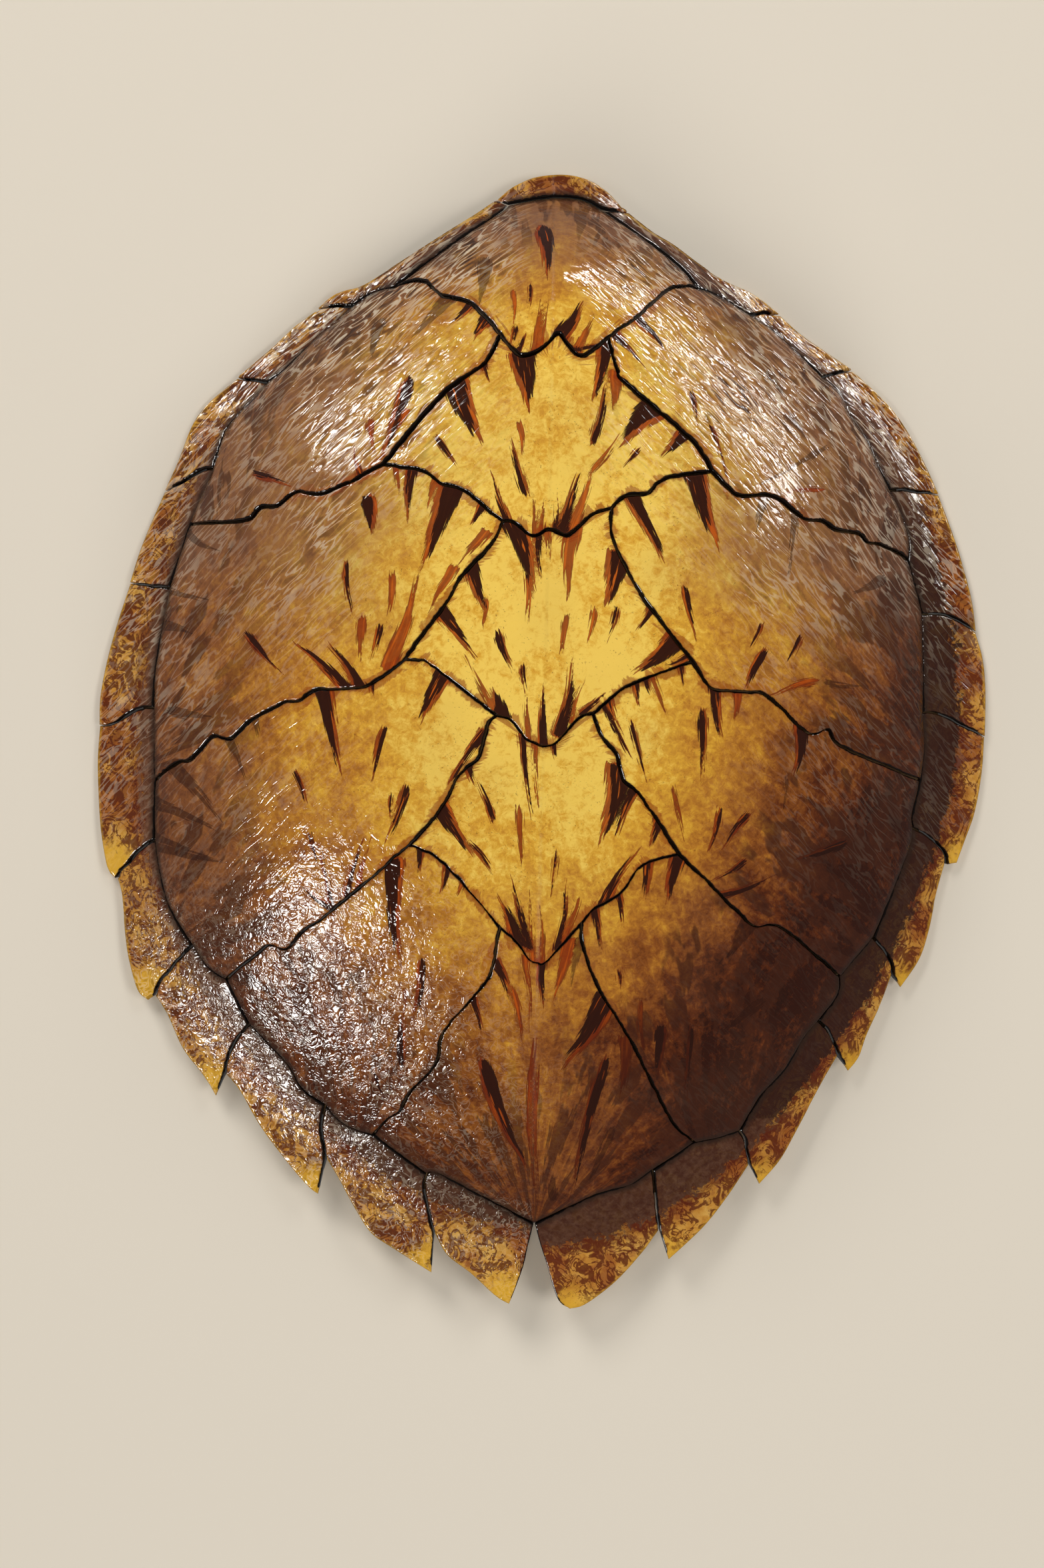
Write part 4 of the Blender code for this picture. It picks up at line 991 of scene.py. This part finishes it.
def disc_finish(name):
    """Vertebrals and costals: golden to dark brown, mottled, with painted flames."""
    f = Finish(name)
    place = f.place()
    cloud = f.swing(place, 0.045, 5, 0.6)
    blot = f.swing(place, 0.2, 6, 0.75, 0.5)
    strokes = f.swing(f.vector("fan"), 1.8, 5, 0.65, 0.3)
    tone_in = f.value("tone")
    brown = f.ramp(tone_in, 1.0, 0.4)
    t = f.add(tone_in, f.times(cloud, 0.5))
    t = f.add(t, f.times(blot, 0.85))
    t = f.add(t, f.times(strokes, f.add(f.times(brown, 0.6), 0.15)))
    colour = f.palette(t, GOLD_STOPS)
    # painted sheen: a grey painted reflection mixed over the horn towards the head and the outer front
    colour = f.mix(f.times(f.value("haze"), 0.6), colour, SHEEN_GREY)
    rays = f.ramp(f.noise(f.vector("fan"), 0.9, 3, 0.6, 0.2), 0.5, 0.545)
    outer = f.ramp(f.add(f.value("ring"), f.times(strokes, 2.5)), -2.4, -0.8)
    outer = f.math("MAXIMUM", outer, f.ramp(tone_in, 0.5, 0.36))
    colour = f.mix(f.times(f.times(rays, outer), f.ramp(tone_in, 0.8, 0.4, 0.0, 0.75)), colour, RAY_BROWN)

    speck_noise = f.noise(place, 0.75, 2, 0.6)
    where = f.noise(place, 0.06, 3)
    specks = f.times(f.ramp(speck_noise, 0.63, 0.69), f.ramp(where, 0.42, 0.6))
    colour = f.mix(f.times(specks, 0.5), colour, CORE_WARM)

    lick = f.ramp(f.add(strokes, f.ramp(f.value("seam"), 12.0, 0.0, -0.25, 0.2)), 0.12, 0.19)
    lick = f.times(lick, f.ramp(tone_in, 0.5, 0.75))
    colour = f.mix(f.times(lick, 0.65), colour, RUST)

    height, colour = wrinkled(f, place, colour)
    grain = f.vector("grain")
    threads = f.swing(f.stretch(grain, (0.05, 1.0, 1)), 1.0, 3, 0.6)
    strands = f.noise(f.stretch(grain, (0.045, 0.6, 1.7)), 1.0, 2, 0.5)
    strength = f.value("strength")
    painted = f.ramp(strength, 0.6, 0.9)
    edge = f.add(f.value("fringe"), f.times(threads, 7.0))
    fringe = f.ramp(edge, -0.1, 0.35)
    tint = f.mix(f.ramp(strands, 0.45, 0.65), RUST, ORANGE)
    rim = f.ramp(edge, 1.6, 0.2)
    tint = f.mix(f.times(rim, 0.7), tint, CORE_WARM)
    tint = f.mix(f.ramp(tone_in, 0.62, 0.2, 0.0, 0.8), tint, CORE_DARK)
    colour = f.mix(f.times(f.times(fringe, painted), 0.92), colour, tint)
    inner = f.add(f.value("core"), f.times(threads, 5.5))
    core = f.times(f.ramp(inner, -0.35, 0.0), f.ramp(strands, 0.7, 0.64))
    colour = f.mix(f.times(core, f.ramp(strength, 0.5, 1.0, 0.6, 0.97)), colour, CORE_DARK)

    return varnished(f, colour, place, f.ramp(blot, -0.2, 0.3, 0.03, 0.08), height)


def margin_finish(name):
    """Nuchal and marginals: brown towards the disc, ochre with red-brown veins outwards, yellow tips."""
    f = Finish(name)
    place = f.place()
    cloud = f.swing(place, 0.06, 4, 0.6)
    blot = f.swing(place, 0.25, 4, 0.65, 0.4)
    t = f.add(f.add(0.84, f.times(cloud, 0.6)), f.times(blot, 0.7))
    colour = f.palette(t, OCHRE_STOPS)
    rusty = f.ramp(f.add(f.noise(place, 0.034, 3), f.times(blot, 0.6)), 0.42, 0.6)
    colour = f.mix(f.times(rusty, 0.8), colour, RUST_PATCH)
    tip = f.ramp(f.add(f.value("tip"), f.times(blot, 0.5)), 0.35, 0.75)
    colour = f.mix(f.times(tip, 0.85), colour, TIP_YELLOW)

    marbling = f.noise(place, 0.07, 3, 0.6, 2.2)
    width = f.ramp(f.noise(place, 0.09, 2), 0.35, 0.65, 0.05, 0.26)
    vein = f.ramp(f.math("DIVIDE", f.web(marbling), width), 1.0, 0.5)
    vein = f.times(vein, f.ramp(tip, 0.2, 0.9, 1.0, 0.0))
    colour = f.mix(f.times(vein, 0.85), colour, VEIN_RED)

    edge = f.add(f.value("inner"), f.times(f.add(f.times(cloud, 1.0), f.times(blot, 1.2)), 0.9))
    inner = f.ramp(edge, 0.4, 0.58)
    dark = f.mix(f.value("shade"), f.mix(f.ramp(blot, -0.15, 0.2), INNER_BROWN, INNER_GREY), INNER_BLACK)
    colour = f.mix(f.times(inner, 0.96), colour, dark)
    stain = f.ramp(f.math("ABSOLUTE", f.less(edge, 0.34)), 0.2, 0.0)
    colour = f.mix(f.times(stain, 0.7), colour, VEIN_RED)

    worn = f.ramp(f.add(f.value("rim"), f.times(blot, 5)), 3.0, 1.0)
    colour = f.mix(f.times(worn, 0.45), colour, TIP_YELLOW)
    height, colour = wrinkled(f, place, colour)
    return varnished(f, colour, place, f.ramp(blot, -0.2, 0.3, 0.07, 0.15), height)


def bone_finish(name):
    """Dry cream bone with pores, darker in its sutures and hollows."""
    f = Finish(name)
    place = f.place()
    cloud = f.noise(place, 0.03, 5, 0.6)
    blot = f.noise(place, 0.2, 4, 0.65)
    colour = f.palette(f.add(f.times(cloud, 0.6), f.times(blot, 0.4)),
                       ((0.3, srgb(150, 118, 78)), (0.5, srgb(196, 168, 122)), (0.7, srgb(224, 204, 164))))
    pores = f.node("ShaderNodeTexVoronoi", {}, {"Vector": place, "Scale": 0.42}).outputs["Distance"]
    colour = f.mix(f.ramp(pores, 0.16, 0.06, 0.0, 0.4), colour, srgb(92, 66, 40))
    colour = f.mix(f.ramp(f.value("ridge"), 0.0, 3.5, 0.3, 0.0), colour, srgb(128, 96, 60))
    colour = f.mix(f.ramp(f.value("suture"), 1.6, 0.2, 0.0, 0.75), colour, srgb(78, 54, 32))
    fine = f.add(f.times(f.noise(place, 0.7, 3), 0.25), f.ramp(pores, 0.0, 0.2, -0.25, 0.0))
    fibres = f.times(f.noise(f.stretch(place, (0.03, 0.35, 0.03)), 1.0, 2), 0.35)
    return f.finish(colour, f.ramp(blot, 0.3, 0.7, 0.62, 0.78), f.add(fine, fibres))


OCHRE_STOPS = ((0.3, srgb(92, 44, 18)), (0.6, srgb(150, 88, 34)), (0.8, srgb(196, 138, 56)),
               (1.0, srgb(222, 176, 92)))
TIP_YELLOW = srgb(224, 172, 52)
RUST_PATCH = srgb(138, 66, 26)
VEIN_RED = srgb(88, 30, 14)
INNER_BROWN = srgb(86, 48, 32)
INNER_GREY = srgb(124, 86, 64)
INNER_BLACK = srgb(48, 22, 15)

GOLD_HORN = disc_finish("horn_gold_varnished")
BROWN_HORN = disc_finish("horn_brown_varnished")
MARGIN_HORN = margin_finish("horn_margin_varnished")
BONE_MATERIAL = bone_finish("bone_dry")

# ---------------------------------------------------------------- the pieces
bony_shield(BONE_MATERIAL)

nuchal_rim = spline([CROSS["l"][0][-1], *NUCHAL_RIM, CROSS["r"][0][-1]])
scute("nuchal", MARGIN_HORN,
      around(NUCHAL_PATH, CROSS_PATH["r_nu"], nuchal_rim, CROSS_PATH["l_nu"]),
      [nuchal_rim], [NUCHAL_PATH], ring=NUCHAL_PATH, rim=nuchal_rim)
SIDES = (("l", "left"), ("r", "right"))
for side, word in SIDES:
    for i, (first, last, points) in enumerate(zip(CROSS_NAMES, (*CROSS_NAMES[1:], "tail"), RIM[side]), 1):
        head_seam = CROSS_PATH[side + "_" + first]
        rim = spline([head_seam[-1], *points])
        if last == "tail":
            rear = spline([J["tail"], *TAIL_SIDES[side], rim[-1]])
        else:
            rear = CROSS_PATH[side + "_" + last]
            if i > 5:           # a tooth's rear edge runs on past the seam to its tip
                rear = join(rear, spline([rear[-1], rim[-1]]))
            else:
                rim = spline([head_seam[-1], *points, rear[-1]])
        seam = ring_path(side, first, last)
        scute("marginal_%s_%d" % (word, i), MARGIN_HORN,
              around(head_seam, rim, rear[::-1], seam[::-1]),
              [head_seam], [rear], ring=seam, rim=rim, tip=rim[-1] if i > 5 else None)

V = {k: SEAM["v%d_v%d" % (k, k + 1)] for k in range(1, 5)}
OF = {side: {k[2:]: p for k, p in SEAM.items() if k.startswith(side + "_")} for side in "lr"}
L, R = OF["l"], OF["r"]
head = [ring_path("l", "nu", "k1"), NUCHAL_PATH, ring_path("r", "nu", "k1")]
tail_l, tail_r = ring_path("l", "k5", "tail"), ring_path("r", "k5", "tail")
scute("vertebral_1", GOLD_HORN,
      around(head[0][::-1], head[1], head[2], R["v1_c1"], V[1], L["v1_c1"]),
      head, [V[1], L["v1_c1"], R["v1_c1"]], ring=join(head[0][::-1], head[1], head[2]), centre=(0, 190))
for k, centre in ((2, (0, 205)), (3, (0, 100)), (4, (0, -10))):
    c_front, c_rear = "c%d_v%d" % (k - 1, k), "v%d_c%d" % (k, k)
    scute("vertebral_%d" % k, GOLD_HORN,
          around(V[k - 1], R[c_front], R[c_rear], V[k], L[c_rear], L[c_front]),
          [V[k - 1], L[c_front], R[c_front]], [V[k], L[c_rear], R[c_rear]], centre=centre)
scute("vertebral_5", BROWN_HORN, around(V[4], R["c4_v5"], tail_r, tail_l, L["c4_v5"]),
      [V[4], L["c4_v5"], R["c4_v5"]], [tail_l, tail_r], ring=join(tail_l, tail_r[::-1]), centre=(2, -300))

for side, word in SIDES:
    out = -1 if side == "l" else 1
    for k, (x, y) in enumerate(((190, 60), (260, -30), (260, -160), (110, -290)), 1):
        front, rear = OF[side]["v%d_c%d" % (k, k)], OF[side]["c%d_v%d" % (k, k + 1)]
        before = [OF[side]["c%d_c%d" % (k - 1, k)]] if k > 1 else []
        after = [OF[side]["c%d_c%d" % (k, k + 1)]] if k < 4 else []
        edge = ring_path(side, "k%d" % k, "k%d" % (k + 1))
        scute("costal_%s_%d" % (word, k), BROWN_HORN,
              around(*(path[::-1] for path in before), front, rear, *after, edge),
              [*before, front], [rear, *after, edge], ring=edge, centre=(out * x, y))

# ---------------------------------------------------------------- floor, light and camera
stage_material = Finish("plain_pale_floor")
stage_material.shader.inputs["Base Color"].default_value = srgb(226, 217, 202)
stage_material.shader.inputs["Roughness"].default_value = 0.9
stage_material.shader.inputs["Specular IOR Level"].default_value = 0.0
FLOOR_HALF = 6.0            # m, as are the numbers below
FLOOR_DROP = 0.0005         # the floor is just below the shell's lowest points
floor_mesh = bpy.data.meshes.new("floor")
floor_mesh.from_pydata([(x * FLOOR_HALF, y * FLOOR_HALF, -FLOOR_DROP)
                        for x, y in ((-1, -1), (1, -1), (1, 1), (-1, 1))], [], [(0, 1, 2, 3)])
floor_mesh.materials.append(stage_material.material)
floor = bpy.data.objects.new("floor", floor_mesh)
bpy.context.scene.collection.objects.link(floor)
floor.visible_glossy = False

LIGHT = (1.0, 0.985, 0.96)
WORLD_STRENGTH = 0.13
KEY_DISTANCE = 4.0
KEY_SIZE = 1.6
world = bpy.data.worlds.new("studio")
world.use_nodes = True
background = world.node_tree.nodes["Background"]
background.inputs["Color"].default_value = (*LIGHT, 1.0)
background.inputs["Strength"].default_value = WORLD_STRENGTH
bpy.context.scene.world = world


def lamp(name, bearing, height, distance, wide, tall, power, glint):
    """A soft oval light aimed at the shell: bearing clockwise from the head and height in degrees. One that
    glints only shows in the varnish; the others only light the colours."""
    data = bpy.data.lights.new(name, "AREA")
    data.shape = "ELLIPSE"
    data.size = wide
    data.size_y = tall
    data.energy = power
    data.color = LIGHT
    obj = bpy.data.objects.new(name, data)
    a, h = math.radians(bearing), math.radians(height)
    out = Vector((math.sin(a) * math.cos(h), math.cos(a) * math.cos(h), math.sin(h)))
    obj.location = out * distance
    obj.rotation_euler = out.to_track_quat("Z", "Y").to_euler()
    obj.visible_camera = False
    obj.visible_glossy = glint
    obj.visible_diffuse = not glint
    bpy.context.scene.collection.objects.link(obj)


for name, bearing, height, power in (("key_head_left", -30, 34, 72), ("key_head_right", 35, 34, 32),
                                     ("key_right", 100, 48, 44), ("key_rear", -170, 40, 50),
                                     ("key_left", -95, 36, 18)):
    lamp(name, bearing, height, KEY_DISTANCE, KEY_SIZE, KEY_SIZE, power, False)
lamp("strip_head_right", 27, 1.5, 0.72, 0.45, 0.035, 1.7, True)
lamp("window_head_right", 48, 3.2, 5.0, 1.6, 0.5, 60, True)
lamp("window_right", 60, 11, 3.4, 0.8, 0.5, 24, True)
lamp("window_head_left", -44, 5.5, 5.0, 1.6, 0.8, 110, True)
lamp("window_rear_left", -130, 20, 3.4, 0.9, 0.9, 80, True)

LENS = 47.9                 # mm on a sensor of 36
EYE = (-0.0113, -0.0287, 1.300)         # looks straight down
ROLL = 1.268                # degrees, as the shell hangs in the photo
bpy.context.scene.view_settings.view_transform = "Standard"
camera_data = bpy.data.cameras.new("camera")
camera_data.sensor_width = 36.0
camera_data.lens = LENS
camera = bpy.data.objects.new("camera", camera_data)
camera.location = EYE
camera.rotation_euler = (0.0, 0.0, math.radians(ROLL))
bpy.context.scene.collection.objects.link(camera)
bpy.context.scene.camera = camera
